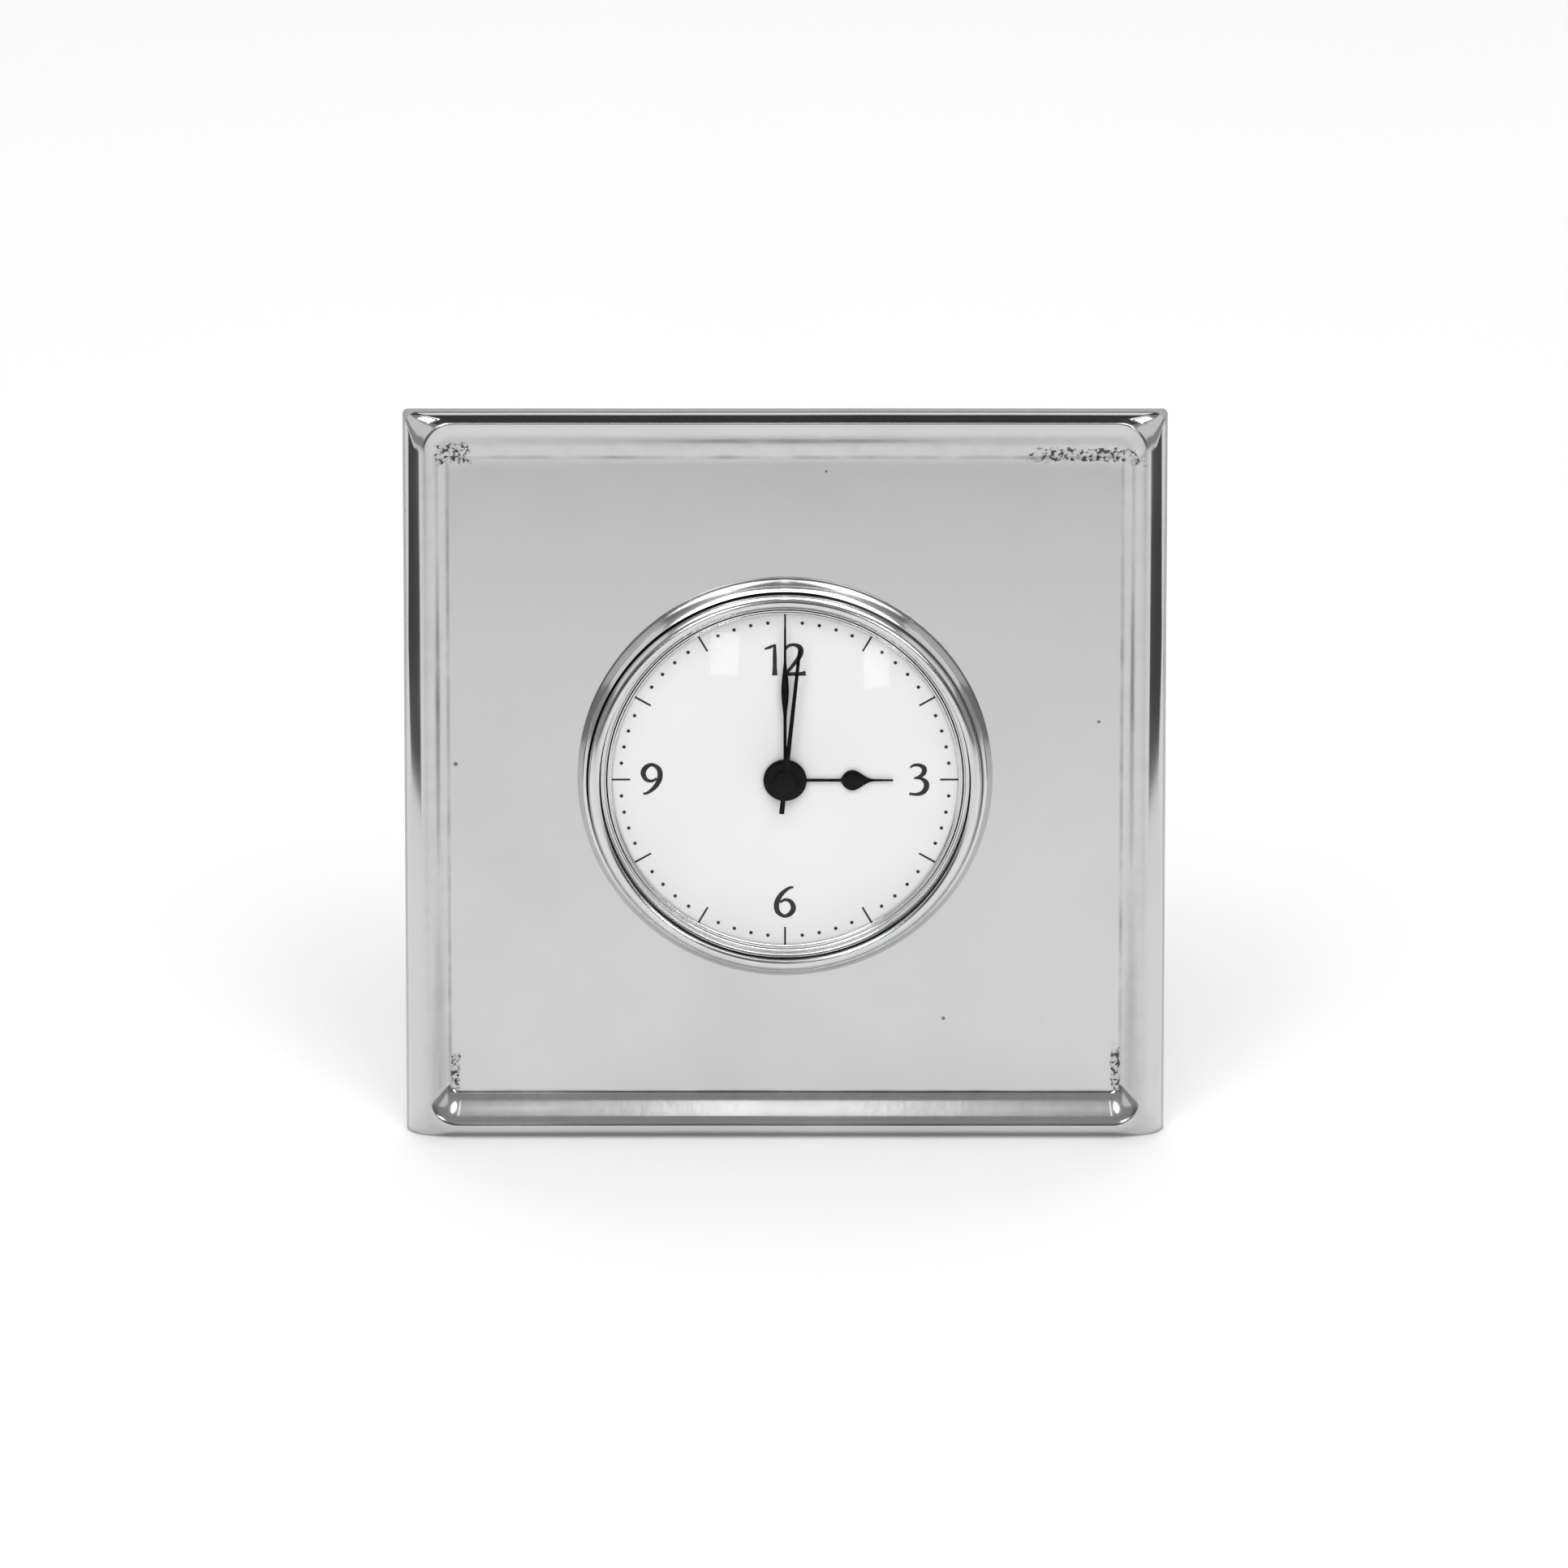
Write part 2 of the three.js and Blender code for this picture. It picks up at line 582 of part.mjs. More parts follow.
function leafEdge() {
  const stem = MINUTE_HAND_WIDTH / 2;
  const needle = MINUTE_NEEDLE_WIDTH / 2;
  const belly = MINUTE_LEAF_WIDTH / 2;
  const edge = [[MINUTE_HAND_HUB_RADIUS - stem, stem]];
  const swell = (from, to, fromHalf, toHalf) => {
    for (let step = 0; step <= 3; step += 1) {
      const ease = (1 - Math.cos(step / 4 * Math.PI)) / 2;
      edge.push([from + (to - from) * step / 4, fromHalf + (toHalf - fromHalf) * ease]);
    }
  };
  swell(MINUTE_LEAF_START, MINUTE_LEAF_MIDDLE, stem, belly);
  swell(MINUTE_LEAF_MIDDLE, MINUTE_LEAF_END, belly, needle);
  edge.push([MINUTE_LEAF_END, needle], [MINUTE_HAND_LENGTH, needle]);
  return edge;
}

const hourHole = HOUR_PIPE_RADIUS + PIPE_GAP;
const minuteHole = MINUTE_PIPE_RADIUS + PIPE_GAP;
const hourHand = joined(
  slab(handOutline(pearEdge()), hourHandBack, hourHandBack + HAND_THICKNESS),
  tube(hourHole, HOUR_HAND_HUB_RADIUS, hourHandBack, hourHandBack + HAND_THICKNESS),
);
add('hour_hand', atClock(hourHand, HOUR_HAND_DEG), blackPaint);
const minuteHand = joined(
  slab(handOutline(leafEdge()), minuteHandBack, minuteHandBack + HAND_THICKNESS),
  tube(minuteHole, MINUTE_HAND_HUB_RADIUS, minuteHandBack, minuteHandBack + HAND_THICKNESS),
);
add('minute_hand', atClock(minuteHand, MINUTE_HAND_DEG), blackPaint);
const capTop = secondHandBack + SECOND_CAP_HEIGHT;
const secondArborTop = capTop - 2 * PIVOT_GAP;
const secondHole = SECOND_ARBOR_RADIUS + PIPE_GAP;
const secondHand = cut(joined(
  slab(handOutline([
    [-SECOND_HAND_TAIL, SECOND_HAND_TAIL_WIDTH / 2], [SECOND_HAND_LENGTH, SECOND_HAND_TIP_WIDTH / 2],
  ]), secondHandBack, secondHandBack + HAND_THICKNESS),
  rod(SECOND_CAP_RADIUS, secondHandBack, capTop, MIDDLE_ROUND),
), rod(secondHole, secondHandBack - 1, secondArborTop + PIVOT_GAP));
add('second_hand', atClock(secondHand, SECOND_HAND_DEG), blackPaint);

// Gear centres
const motionDistance = meshDistance(CANNON_TEETH, MINUTE_TEETH, MOTION_MODULE);
const minutePinionModule = 2 * motionDistance / (MINUTE_PINION_TEETH + HOUR_TEETH);
const thirdDistance = meshDistance(THIRD_PINION_TEETH, CENTRE_TEETH, CENTRE_MODULE);
const thirdModule = 2 * thirdDistance / (SECONDS_PINION_TEETH + THIRD_TEETH);
const intermediateDistance = meshDistance(INTERMEDIATE_PINION_TEETH, SECONDS_TEETH, INTERMEDIATE_MODULE);
const rotorDistance = meshDistance(ROTOR_PINION_TEETH, INTERMEDIATE_TEETH, ROTOR_MODULE);
const settingDistance = meshDistance(SETTING_TEETH, MINUTE_TEETH, MOTION_MODULE);
const thirdPlace = polar(thirdDistance, THIRD_DIRECTION_DEG);
const intermediatePlace = polar(intermediateDistance, INTERMEDIATE_DIRECTION_DEG);
const rotorPlace = polar(rotorDistance, ROTOR_DIRECTION_DEG, intermediatePlace);
const minutePlace = polar(motionDistance, MOTION_DIRECTION_DEG);
const settingPlace = polar(settingDistance, MOTION_DIRECTION_DEG, minutePlace);

// Gear phases, each wheel in mesh with the one before it
const centrePhase = 0;
const thirdDirection = radians(THIRD_DIRECTION_DEG);
const intermediateDirection = radians(INTERMEDIATE_DIRECTION_DEG);
const rotorDirection = radians(ROTOR_DIRECTION_DEG);
const motionDirection = radians(MOTION_DIRECTION_DEG);
const thirdPinionPhase = meshedPhase(CENTRE_TEETH, centrePhase, thirdDirection, THIRD_PINION_TEETH);
const secondsPinionPhase = 0;
const thirdPhase = meshedPhase(SECONDS_PINION_TEETH, secondsPinionPhase, thirdDirection, THIRD_TEETH);
const secondsPhase = 0;
const intermediatePinionPhase = meshedPhase(
  SECONDS_TEETH, secondsPhase, intermediateDirection, INTERMEDIATE_PINION_TEETH,
);
const intermediatePhase = 0;
const rotorPinionPhase = meshedPhase(
  INTERMEDIATE_TEETH, intermediatePhase, rotorDirection, ROTOR_PINION_TEETH,
);
const cannonPhase = 0;
const minutePhase = meshedPhase(CANNON_TEETH, cannonPhase, motionDirection, MINUTE_TEETH);
const settingPhase = meshedPhase(MINUTE_TEETH, minutePhase, motionDirection, SETTING_TEETH);
const hourPhase = 0;
const minutePinionPhase = meshedPhase(HOUR_TEETH, hourPhase, motionDirection, MINUTE_PINION_TEETH);

const wheel = (teeth, module, phase, level) => gear(teeth, module, phase, level - GEAR_THICKNESS, level);
const pinion = (teeth, module, phase, level) => gear(
  teeth, module, phase, level - GEAR_THICKNESS - PINION_OVERHANG, level + PINION_OVERHANG,
);

// Plates
const pillarPlaces = PILLAR_DIRECTIONS_DEG.map((degrees) => polar(plateRadius - PILLAR_INSET, degrees));
const frontPlateBack = FRONT_PLATE_TOP - PLATE_THICKNESS;
const backPlateFront = frontPlateBack - PLATE_SPACING;
const backPlateBack = backPlateFront - BACK_PLATE_THICKNESS;
const arborFront = FRONT_PLATE_TOP - PIVOT_GAP;
const arborBack = backPlateBack + PIVOT_GAP;
const arborHole = ARBOR_RADIUS + PIVOT_GAP;
const shaftHole = SETTING_SHAFT_RADIUS + PIVOT_GAP;
const plateScrewHole = PLATE_SCREW_RADIUS + SCREW_GAP;
const pillarEnd = backPlateFront + SEAT_GAP;

const pivotHoles = (places, radius) => places.map(
  (place) => rod(radius, backPlateBack - 1, FRONT_PLATE_TOP + 1).translate(...place, 0),
);

function frontPlateGeometry() {
  const plate = rod(plateRadius, frontPlateBack, FRONT_PLATE_TOP, LARGE_ROUND);
  const postEnd = MINUTE_WHEEL_LEVEL - GEAR_THICKNESS - PINION_OVERHANG;
  const sink = PLATE_THICKNESS / 2;
  const post = rod(MINUTE_POST_RADIUS, postEnd, frontPlateBack + sink).translate(...minutePlace, 0);
  const pillars = pillarPlaces.map(
    (place) => rod(PILLAR_RADIUS, pillarEnd, frontPlateBack + sink).translate(...place, 0),
  );
  const screwHoles = pillarPlaces.map((place) => (
    rod(plateScrewHole, pillarEnd - 1, pillarEnd + PLATE_SCREW_BITE + SCREW_GAP).translate(...place, 0)
  ));
  const pipeHole = rod(HOUR_PIPE_RADIUS + PIPE_GAP, frontPlateBack - 1, FRONT_PLATE_TOP + 1, MIDDLE_ROUND);
  const arborHoles = pivotHoles([thirdPlace, intermediatePlace, rotorPlace, settingPlace], arborHole);
  return cut(joined(plate, post, ...pillars), pipeHole, ...arborHoles, ...screwHoles);
}

function backPlateGeometry() {
  const plate = rod(plateRadius, backPlateBack, backPlateFront, LARGE_ROUND);
  const batterySide = block(
    -plateRadius, plateRadius, -plateRadius, BACK_PLATE_LOWER_EDGE, backPlateBack - 1, backPlateFront + 1,
  );
  return cut(
    plate, batterySide, ...pivotHoles([[0, 0], thirdPlace, intermediatePlace, rotorPlace], arborHole),
    ...pivotHoles([settingPlace], shaftHole), ...pivotHoles(pillarPlaces, plateScrewHole),
  );
}

add('movement_front_plate', frontPlateGeometry(), whitePlastic);
add('movement_back_plate', backPlateGeometry(), whitePlastic);
pillarPlaces.forEach((place, number) => {
  const seat = backPlateBack - SCREW_GAP;
  const screw = screwGeometry(
    PLATE_SCREW_RADIUS, PLATE_SCREW_HEAD_RADIUS, PLATE_SCREW_HEAD_HEIGHT, seat, pillarEnd + PLATE_SCREW_BITE,
  );
  add(`plate_screw_${number + 1}`, screw, steel, ...place);
});

// Wheels on the centre line: hour, minute and seconds, one pipe inside the other
const hourWheelBack = HOUR_WHEEL_LEVEL - GEAR_THICKNESS;
const hourPipeTop = hourHandBack + HAND_THICKNESS;
const hourPipeInner = MINUTE_PIPE_RADIUS + PIPE_GAP;
add('hour_wheel', cut(joined(
  wheel(HOUR_TEETH, minutePinionModule, hourPhase, HOUR_WHEEL_LEVEL),
  rod(HOUR_PIPE_RADIUS, hourWheelBack, hourPipeTop, MIDDLE_ROUND),
), rod(hourPipeInner, hourWheelBack - 1, hourPipeTop + 1, MIDDLE_ROUND)), brass);

const minutePipeTop = minuteHandBack + HAND_THICKNESS;
const cannonFront = MINUTE_WHEEL_LEVEL + PINION_OVERHANG;
const minutePipeBack = CENTRE_WHEEL_LEVEL - GEAR_THICKNESS - PINION_OVERHANG;
add('minute_arbor', cut(joined(
  pinion(CANNON_TEETH, MOTION_MODULE, cannonPhase, MINUTE_WHEEL_LEVEL),
  rod(MINUTE_PIPE_RADIUS, minutePipeBack, minutePipeTop, MIDDLE_ROUND),
), rod(secondHole, minutePipeBack - 1, minutePipeTop + 1)), brass);
add('centre_wheel', cut(
  wheel(CENTRE_TEETH, CENTRE_MODULE, centrePhase, CENTRE_WHEEL_LEVEL),
  rod(minuteHole, CENTRE_WHEEL_LEVEL - 2 * GEAR_THICKNESS, cannonFront, MIDDLE_ROUND),
), whitePlastic);
add('seconds_wheel', joined(
  wheel(SECONDS_TEETH, INTERMEDIATE_MODULE, secondsPhase, SECONDS_WHEEL_LEVEL),
  gear(
    SECONDS_PINION_TEETH, thirdModule, secondsPinionPhase,
    SECONDS_WHEEL_LEVEL - GEAR_THICKNESS / 2, THIRD_WHEEL_LEVEL + PINION_OVERHANG,
  ),
  rod(SECOND_ARBOR_RADIUS, arborBack, secondArborTop),
), whitePlastic);

// Wheels beside the centre line
add('third_wheel', joined(
  wheel(THIRD_TEETH, thirdModule, thirdPhase, THIRD_WHEEL_LEVEL),
  gear(
    THIRD_PINION_TEETH, CENTRE_MODULE, thirdPinionPhase,
    THIRD_WHEEL_LEVEL - GEAR_THICKNESS / 2, CENTRE_WHEEL_LEVEL + PINION_OVERHANG,
  ),
  rod(ARBOR_RADIUS, arborBack, arborFront),
), whitePlastic, ...thirdPlace);
add('intermediate_wheel', joined(
  wheel(INTERMEDIATE_TEETH, ROTOR_MODULE, intermediatePhase, INTERMEDIATE_WHEEL_LEVEL),
  gear(
    INTERMEDIATE_PINION_TEETH, INTERMEDIATE_MODULE, intermediatePinionPhase,
    INTERMEDIATE_WHEEL_LEVEL - GEAR_THICKNESS / 2, SECONDS_WHEEL_LEVEL + PINION_OVERHANG,
  ),
  rod(ARBOR_RADIUS, arborBack, arborFront),
), whitePlastic, ...intermediatePlace);
const minutePinionFront = HOUR_WHEEL_LEVEL + PINION_OVERHANG;
const postHole = rod(MINUTE_POST_RADIUS + PIVOT_GAP, MINUTE_WHEEL_LEVEL - 2, minutePinionFront + 1);
add('minute_wheel', cut(joined(
  wheel(MINUTE_TEETH, MOTION_MODULE, minutePhase, MINUTE_WHEEL_LEVEL),
  gear(
    MINUTE_PINION_TEETH, minutePinionModule, minutePinionPhase,
    MINUTE_WHEEL_LEVEL - GEAR_THICKNESS / 2, minutePinionFront,
  ),
), postHole), whitePlastic, ...minutePlace);

// Motor: rotor, stator, core and coil
const magnetBack = MAGNET_FRONT - MAGNET_LENGTH;
add('rotor', joined(
  rod(MAGNET_RADIUS, magnetBack, MAGNET_FRONT, MIDDLE_ROUND),
  gear(
    ROTOR_PINION_TEETH, ROTOR_MODULE, rotorPinionPhase,
    INTERMEDIATE_WHEEL_LEVEL - GEAR_THICKNESS - PINION_OVERHANG, magnetBack + MAGNET_LENGTH / 4,
  ),
  rod(ARBOR_RADIUS, arborBack, arborFront),
), magnetGrey, ...rotorPlace);

function bar(from, to, width, back, front) {
  const run = new THREE.Vector2(to[0] - from[0], to[1] - from[1]);
  const box = block(-width / 2, run.length() + width / 2, -width / 2, width / 2, back, front);
  return box.rotateZ(run.angle()).translate(from[0], from[1], 0);
}

const statorBack = STATOR_FRONT - STATOR_THICKNESS;
const coreLeft = COIL_LEFT - CORE_OVERHANG;
const coreRight = COIL_RIGHT + CORE_OVERHANG;
const statorFoot = [coreRight - STATOR_ARM_WIDTH / 2, STATOR_LOWER_ARM_Y];
const statorBar = (from, to) => bar(from, to, STATOR_ARM_WIDTH, statorBack, STATOR_FRONT);
const statorEye = rod(MAGNET_RADIUS + STATOR_EYE_GAP, statorBack - 1, STATOR_FRONT + 1, MIDDLE_ROUND);
add('stator', cut(joined(
  rod(STATOR_EYE_RADIUS, statorBack, STATOR_FRONT, MIDDLE_ROUND).translate(...rotorPlace, 0),
  statorBar(rotorPlace, [coreLeft + STATOR_ARM_WIDTH / 2, COIL_Y]),
  statorBar(rotorPlace, statorFoot),
  statorBar(statorFoot, [statorFoot[0], COIL_Y]),
), statorEye.translate(...rotorPlace, 0)), steel);
const coreBack = STATOR_FRONT + SEAT_GAP;
const coreFront = coreBack + CORE_THICKNESS;
const coreHalf = CORE_WIDTH / 2;
add('coil_core', block(
  coreLeft, coreRight, COIL_Y - coreHalf, COIL_Y + coreHalf, coreBack, coreFront,
), steel);
const spoolLength = COIL_RIGHT - COIL_LEFT;
const spool = turned([
  [0, 0], [COIL_RADIUS, 0], [COIL_RADIUS, COIL_FLANGE], [COIL_WAIST_RADIUS, COIL_FLANGE],
  [COIL_WAIST_RADIUS, spoolLength - COIL_FLANGE], [COIL_RADIUS, spoolLength - COIL_FLANGE],
  [COIL_RADIUS, spoolLength], [0, spoolLength],
], MIDDLE_ROUND).rotateY(Math.PI / 2).translate(COIL_LEFT, COIL_Y, (coreBack + coreFront) / 2);
add('coil', cut(spool, block(
  COIL_LEFT - 1, COIL_RIGHT + 1, COIL_Y - coreHalf - SEAT_GAP, COIL_Y + coreHalf + SEAT_GAP,
  coreBack - SEAT_GAP, coreFront + SEAT_GAP,
)), copper);

// Circuit board on the back plate, with its crystal and driver chip
const boardBack = backPlateFront + SEAT_GAP;
const boardFront = boardBack + BOARD_THICKNESS;
const boardLeft = BOARD_X - BOARD_WIDTH / 2;
const boardLow = BOARD_Y - BOARD_HEIGHT / 2;
add('circuit_board', block(
  boardLeft, boardLeft + BOARD_WIDTH, boardLow, boardLow + BOARD_HEIGHT, boardBack, boardFront,
), boardGreen);
const crystalZ = boardFront + SEAT_GAP + CRYSTAL_RADIUS;
const crystal = rod(CRYSTAL_RADIUS, -CRYSTAL_LENGTH / 2, CRYSTAL_LENGTH / 2).rotateY(Math.PI / 2);
const crystalY = boardLow + BOARD_HEIGHT - 2 * CRYSTAL_RADIUS;
add('quartz_crystal', crystal.translate(0, 0, crystalZ), steel, BOARD_X, crystalY);
const chipBack = boardFront + SEAT_GAP;
const chip = block(-CHIP_SIZE / 2, CHIP_SIZE / 2, 0, CHIP_SIZE - SEAT_GAP, chipBack, chipBack + CHIP_HEIGHT);
add('driver_chip', chip, blackPlastic, BOARD_X, boardLow);

// Can with its back openings, grip ring, battery door
const canBack = -CAN_DEPTH;
const canFloor = canBack + CAN_BACK_THICKNESS;
const shoulderFront = SEAT_GAP + CAN_SHOULDER_THICKNESS;
const shoulderRadius = dialRadius;
const doorHalf = batteryHalf + DOOR_MARGIN;
const doorHalfHeight = BATTERY_RADIUS + DOOR_MARGIN;
const can = turned([
  [0, canBack], [canRadius, canBack], [canRadius, SEAT_GAP], [shoulderRadius, SEAT_GAP],
  [shoulderRadius, shoulderFront], [canInner, shoulderFront], [canInner, canFloor], [0, canFloor],
], LARGE_ROUND);
add('insert_can', cut(
  can,
  block(
    -doorHalf, doorHalf, BATTERY_Y - doorHalfHeight, BATTERY_Y + doorHalfHeight, canBack - 1, canFloor + 1,
  ),
  rod(shaftHole, canBack - 1, canFloor + 1).translate(...settingPlace, 0),
), blackPlastic);
const gripFront = -SEAT_GAP;
add('grip_ring', tube(
  canRadius + SEAT_GAP, boreRadius - SEAT_GAP, gripFront - GRIP_RING_LENGTH, gripFront, 64,
), greyRubber);

const batteryZ = canFloor + SEAT_GAP + BATTERY_RADIUS;
const bodyEnd = batteryHalf - BATTERY_NUB_LENGTH;
const battery = turned([
  [0, -batteryHalf], [BATTERY_RADIUS, -batteryHalf], [BATTERY_RADIUS, bodyEnd], [BATTERY_NUB_RADIUS, bodyEnd],
  [BATTERY_NUB_RADIUS, batteryHalf], [0, batteryHalf],
], MIDDLE_ROUND).rotateY(Math.PI / 2).translate(0, BATTERY_Y, batteryZ);
add('battery', battery, cellWrap);

function doorGeometry() {
  const half = doorHalf - SEAT_GAP;
  const halfHeight = doorHalfHeight - SEAT_GAP;
  const ribStep = 2 * halfHeight / (2 * DOOR_GRIP_COUNT + 1);
  const ribs = [];
  for (let rib = 0; rib < DOOR_GRIP_COUNT; rib += 1) {
    const low = BATTERY_Y - halfHeight + ribStep * (2 * rib + 1);
    ribs.push(block(-half / 2, half / 2, low, low + ribStep, canBack - DOOR_GRIP_HEIGHT, canFloor));
  }
  return joined(
    block(-half, half, BATTERY_Y - halfHeight, BATTERY_Y + halfHeight, canBack, canFloor), ...ribs,
  );
}

add('battery_door', doorGeometry(), blackPlastic);

const contactLow = BATTERY_Y - CONTACT_WIDTH / 2;
const contactBack = batteryZ - CONTACT_WIDTH / 2;
const positiveX = batteryHalf + SEAT_GAP;
add('positive_contact', block(
  positiveX, positiveX + CONTACT_THICKNESS, contactLow, contactLow + CONTACT_WIDTH,
  contactBack, contactBack + CONTACT_WIDTH,
), brass);
const springTip = -batteryHalf - SEAT_GAP;
const springFoot = springTip - CONTACT_SPRING_TRAVEL;
const leaf = new THREE.Shape();
leaf.moveTo(springFoot - CONTACT_THICKNESS, contactLow);
leaf.lineTo(springFoot, contactLow);
leaf.quadraticCurveTo(2 * springTip - springFoot, BATTERY_Y, springFoot, contactLow + CONTACT_WIDTH);
leaf.lineTo(springFoot - CONTACT_THICKNESS, contactLow + CONTACT_WIDTH);
leaf.quadraticCurveTo(
  2 * springTip - springFoot - CONTACT_THICKNESS, BATTERY_Y, springFoot - CONTACT_THICKNESS, contactLow,
);
add('negative_contact', slab(leaf, contactBack, contactBack + CONTACT_WIDTH), brass);

// Setting pinion and its knob behind the can
const shaftEnd = canBack - SETTING_SHAFT_END;
add('setting_pinion', joined(
  pinion(SETTING_TEETH, MOTION_MODULE, settingPhase, MINUTE_WHEEL_LEVEL),
  rod(ARBOR_RADIUS, MINUTE_WHEEL_LEVEL, arborFront),
  rod(SETTING_SHAFT_RADIUS, shaftEnd, MINUTE_WHEEL_LEVEL),
), steel, ...settingPlace);
const knobFront = canBack - SEAT_GAP;
const knobPoints = [];
for (let step = 0; step < 4 * KNOB_FLUTES; step += 1) {
  const angle = step / (4 * KNOB_FLUTES) * 2 * Math.PI;
  const radius = KNOB_RADIUS - KNOB_FLUTE_DEPTH * (1 - Math.cos(KNOB_FLUTES * angle)) / 2;
  knobPoints.push(new THREE.Vector2(radius * Math.cos(angle), radius * Math.sin(angle)));
}
add('setting_knob', cut(
  slab(new THREE.Shape(knobPoints), knobFront - KNOB_HEIGHT, knobFront),
  rod(shaftHole, shaftEnd - SEAT_GAP, knobFront + 1),
), blackPlastic, ...settingPlace);

// Origin on the table, in the middle of the footprint
clock.add(face);
const extent = new THREE.Box3().setFromObject(clock, true);
clock.position.y = -(extent.min.y + extent.max.y) / 2;

export default clock;
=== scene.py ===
# %% [markdown]
# A square table clock of polished cast aluminium, with a round quartz insert in its face.
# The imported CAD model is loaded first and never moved. Every new surface below is worked out
# as whole numpy arrays in the face's own frame (x right, y up the face, z out of it, in
# millimetres) and is then turned into the shared frame, in metres.

import json
import math

import bmesh
import bpy
import numpy as np
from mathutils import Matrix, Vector


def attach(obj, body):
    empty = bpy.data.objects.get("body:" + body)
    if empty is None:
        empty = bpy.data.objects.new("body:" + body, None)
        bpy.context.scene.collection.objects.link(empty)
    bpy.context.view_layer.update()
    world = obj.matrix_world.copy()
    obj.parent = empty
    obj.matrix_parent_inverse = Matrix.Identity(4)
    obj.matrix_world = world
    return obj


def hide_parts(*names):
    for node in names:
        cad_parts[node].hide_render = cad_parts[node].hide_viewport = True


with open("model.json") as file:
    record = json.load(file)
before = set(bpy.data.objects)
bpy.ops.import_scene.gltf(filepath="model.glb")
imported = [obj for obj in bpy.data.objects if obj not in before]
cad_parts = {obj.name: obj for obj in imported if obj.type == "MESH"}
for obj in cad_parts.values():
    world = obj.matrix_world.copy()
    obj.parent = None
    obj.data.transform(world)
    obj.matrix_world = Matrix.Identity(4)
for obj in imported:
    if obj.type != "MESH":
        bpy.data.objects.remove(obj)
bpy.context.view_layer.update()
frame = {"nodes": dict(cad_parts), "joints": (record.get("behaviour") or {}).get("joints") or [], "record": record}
scene = bpy.context.scene

# %% [markdown]
# The minute hand's hinge gives the face's frame: it passes through the middle of the field,
# and its axis points straight into the clock.

# %% The face's frame
minute_joint = next(j for j in frame["joints"] if j["name"] == "minute_spin")
CENTRE = np.array(minute_joint["pos_m"])
FACE_Z = -np.array(minute_joint["axis"])
FACE_X = np.array([1.0, 0.0, 0.0])
FACE_Y = np.cross(FACE_Z, FACE_X)
FACE_AXES = np.stack([FACE_X, FACE_Y, FACE_Z])
MM = 0.001


def to_world(points):
    """Face millimetres to shared metres: the centre plus each coordinate along its face axis."""
    return CENTRE + MM * (np.asarray(points, float) @ FACE_AXES)


print("face centre", CENTRE, "normal", FACE_Z)

# %% [markdown]
# These helpers put arrays into meshes. A grid is a surface of two parameters, closed round the
# second one, and in a ring round the first as well. A tube is closed by a fan at each end.

# %% Mesh helpers
def grid_faces(rows, columns, ring):
    """The quads of a grid of points, as corner numbers; in a ring the last row joins the first."""
    r, c = np.meshgrid(np.arange(rows if ring else rows - 1), np.arange(columns), indexing="ij")
    r2, c2 = (r + 1) % rows, (c + 1) % columns
    corners = [r * columns + c, r * columns + c2, r2 * columns + c2, r2 * columns + c]
    return np.stack(corners, axis=-1).reshape(-1, 4)


def capped_faces(rows, columns):
    """A tube of quads with a fan at each end; the two poles follow the grid's points."""
    here = np.arange(columns)
    there = (here + 1) % columns
    last = (rows - 1) * columns
    first_pole, last_pole = rows * columns, rows * columns + 1
    return (grid_faces(rows, columns, False).tolist()
            + np.stack([np.full(columns, first_pole), there, here], axis=-1).tolist()
            + np.stack([np.full(columns, last_pole), last + here, last + there], axis=-1).tolist())


def full_turn(steps):
    """Equal angles once round a circle."""
    return np.linspace(0, 2 * np.pi, steps, endpoint=False)


def round_about(centre, radius, angle):
    """Points in the face plane at a distance and an angle from a centre."""
    return np.stack([centre[0] + radius * np.cos(angle), centre[1] + radius * np.sin(angle)], axis=-1)


def at_height(flat, z):
    """Points in the face plane, given a height."""
    return np.concatenate([flat, np.broadcast_to(z, flat.shape[:-1] + (1,))], axis=-1)


def new_object(name, data):
    """A new object in the scene that shows a mesh, a lamp or a camera."""
    made = bpy.data.objects.new(name, data)
    scene.collection.objects.link(made)
    return made


def mesh_piece(name, points, faces, body, material, smooth=True):
    """A named piece from face points and faces, riding on a body."""
    mesh = bpy.data.meshes.new(name)
    mesh.from_pydata(to_world(points).tolist(), [], [list(f) for f in faces])
    mesh.validate()
    mesh.polygons.foreach_set("use_smooth", np.full(len(mesh.polygons), smooth))
    mesh.materials.append(material)
    mesh.update()
    piece = new_object(name, mesh)
    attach(piece, body)
    return piece


def turned_points(profile, segments):
    """A profile of (radius, z) corners carried round the z axis: x = r cos a, y = r sin a."""
    radius, z = np.asarray(profile, float).T
    return at_height(round_about((0, 0), radius[:, None], full_turn(segments)), z[:, None, None])


def ring_turn(profile, segments):
    """Points and faces of a turned ring, whose profile is closed."""
    points = turned_points(profile, segments).reshape(-1, 3)
    return points, grid_faces(len(profile), segments, True).tolist()


def capped_shell(grid, centre, first, last):
    """Points and faces of a tube of points, closed at two poles on the axis through a centre."""
    poles = np.array([[*centre, first], [*centre, last]])
    return np.concatenate([grid.reshape(-1, 3), poles]), capped_faces(*grid.shape[:2])


def capped_turn(profile, segments):
    """Points and faces of a turned solid whose profile starts and ends on the axis, at its poles."""
    return capped_shell(turned_points(profile[1:-1], segments), (0, 0), profile[0, 1], profile[-1, 1])


def turned_piece(name, profile, segments, body, material, closed=True):
    """A solid of revolution: a closed profile makes a ring, an open one starts and ends on the axis."""
    profile = np.asarray(profile, float)
    points, faces = ring_turn(profile, segments) if closed else capped_turn(profile, segments)
    return mesh_piece(name, points, faces, body, material)


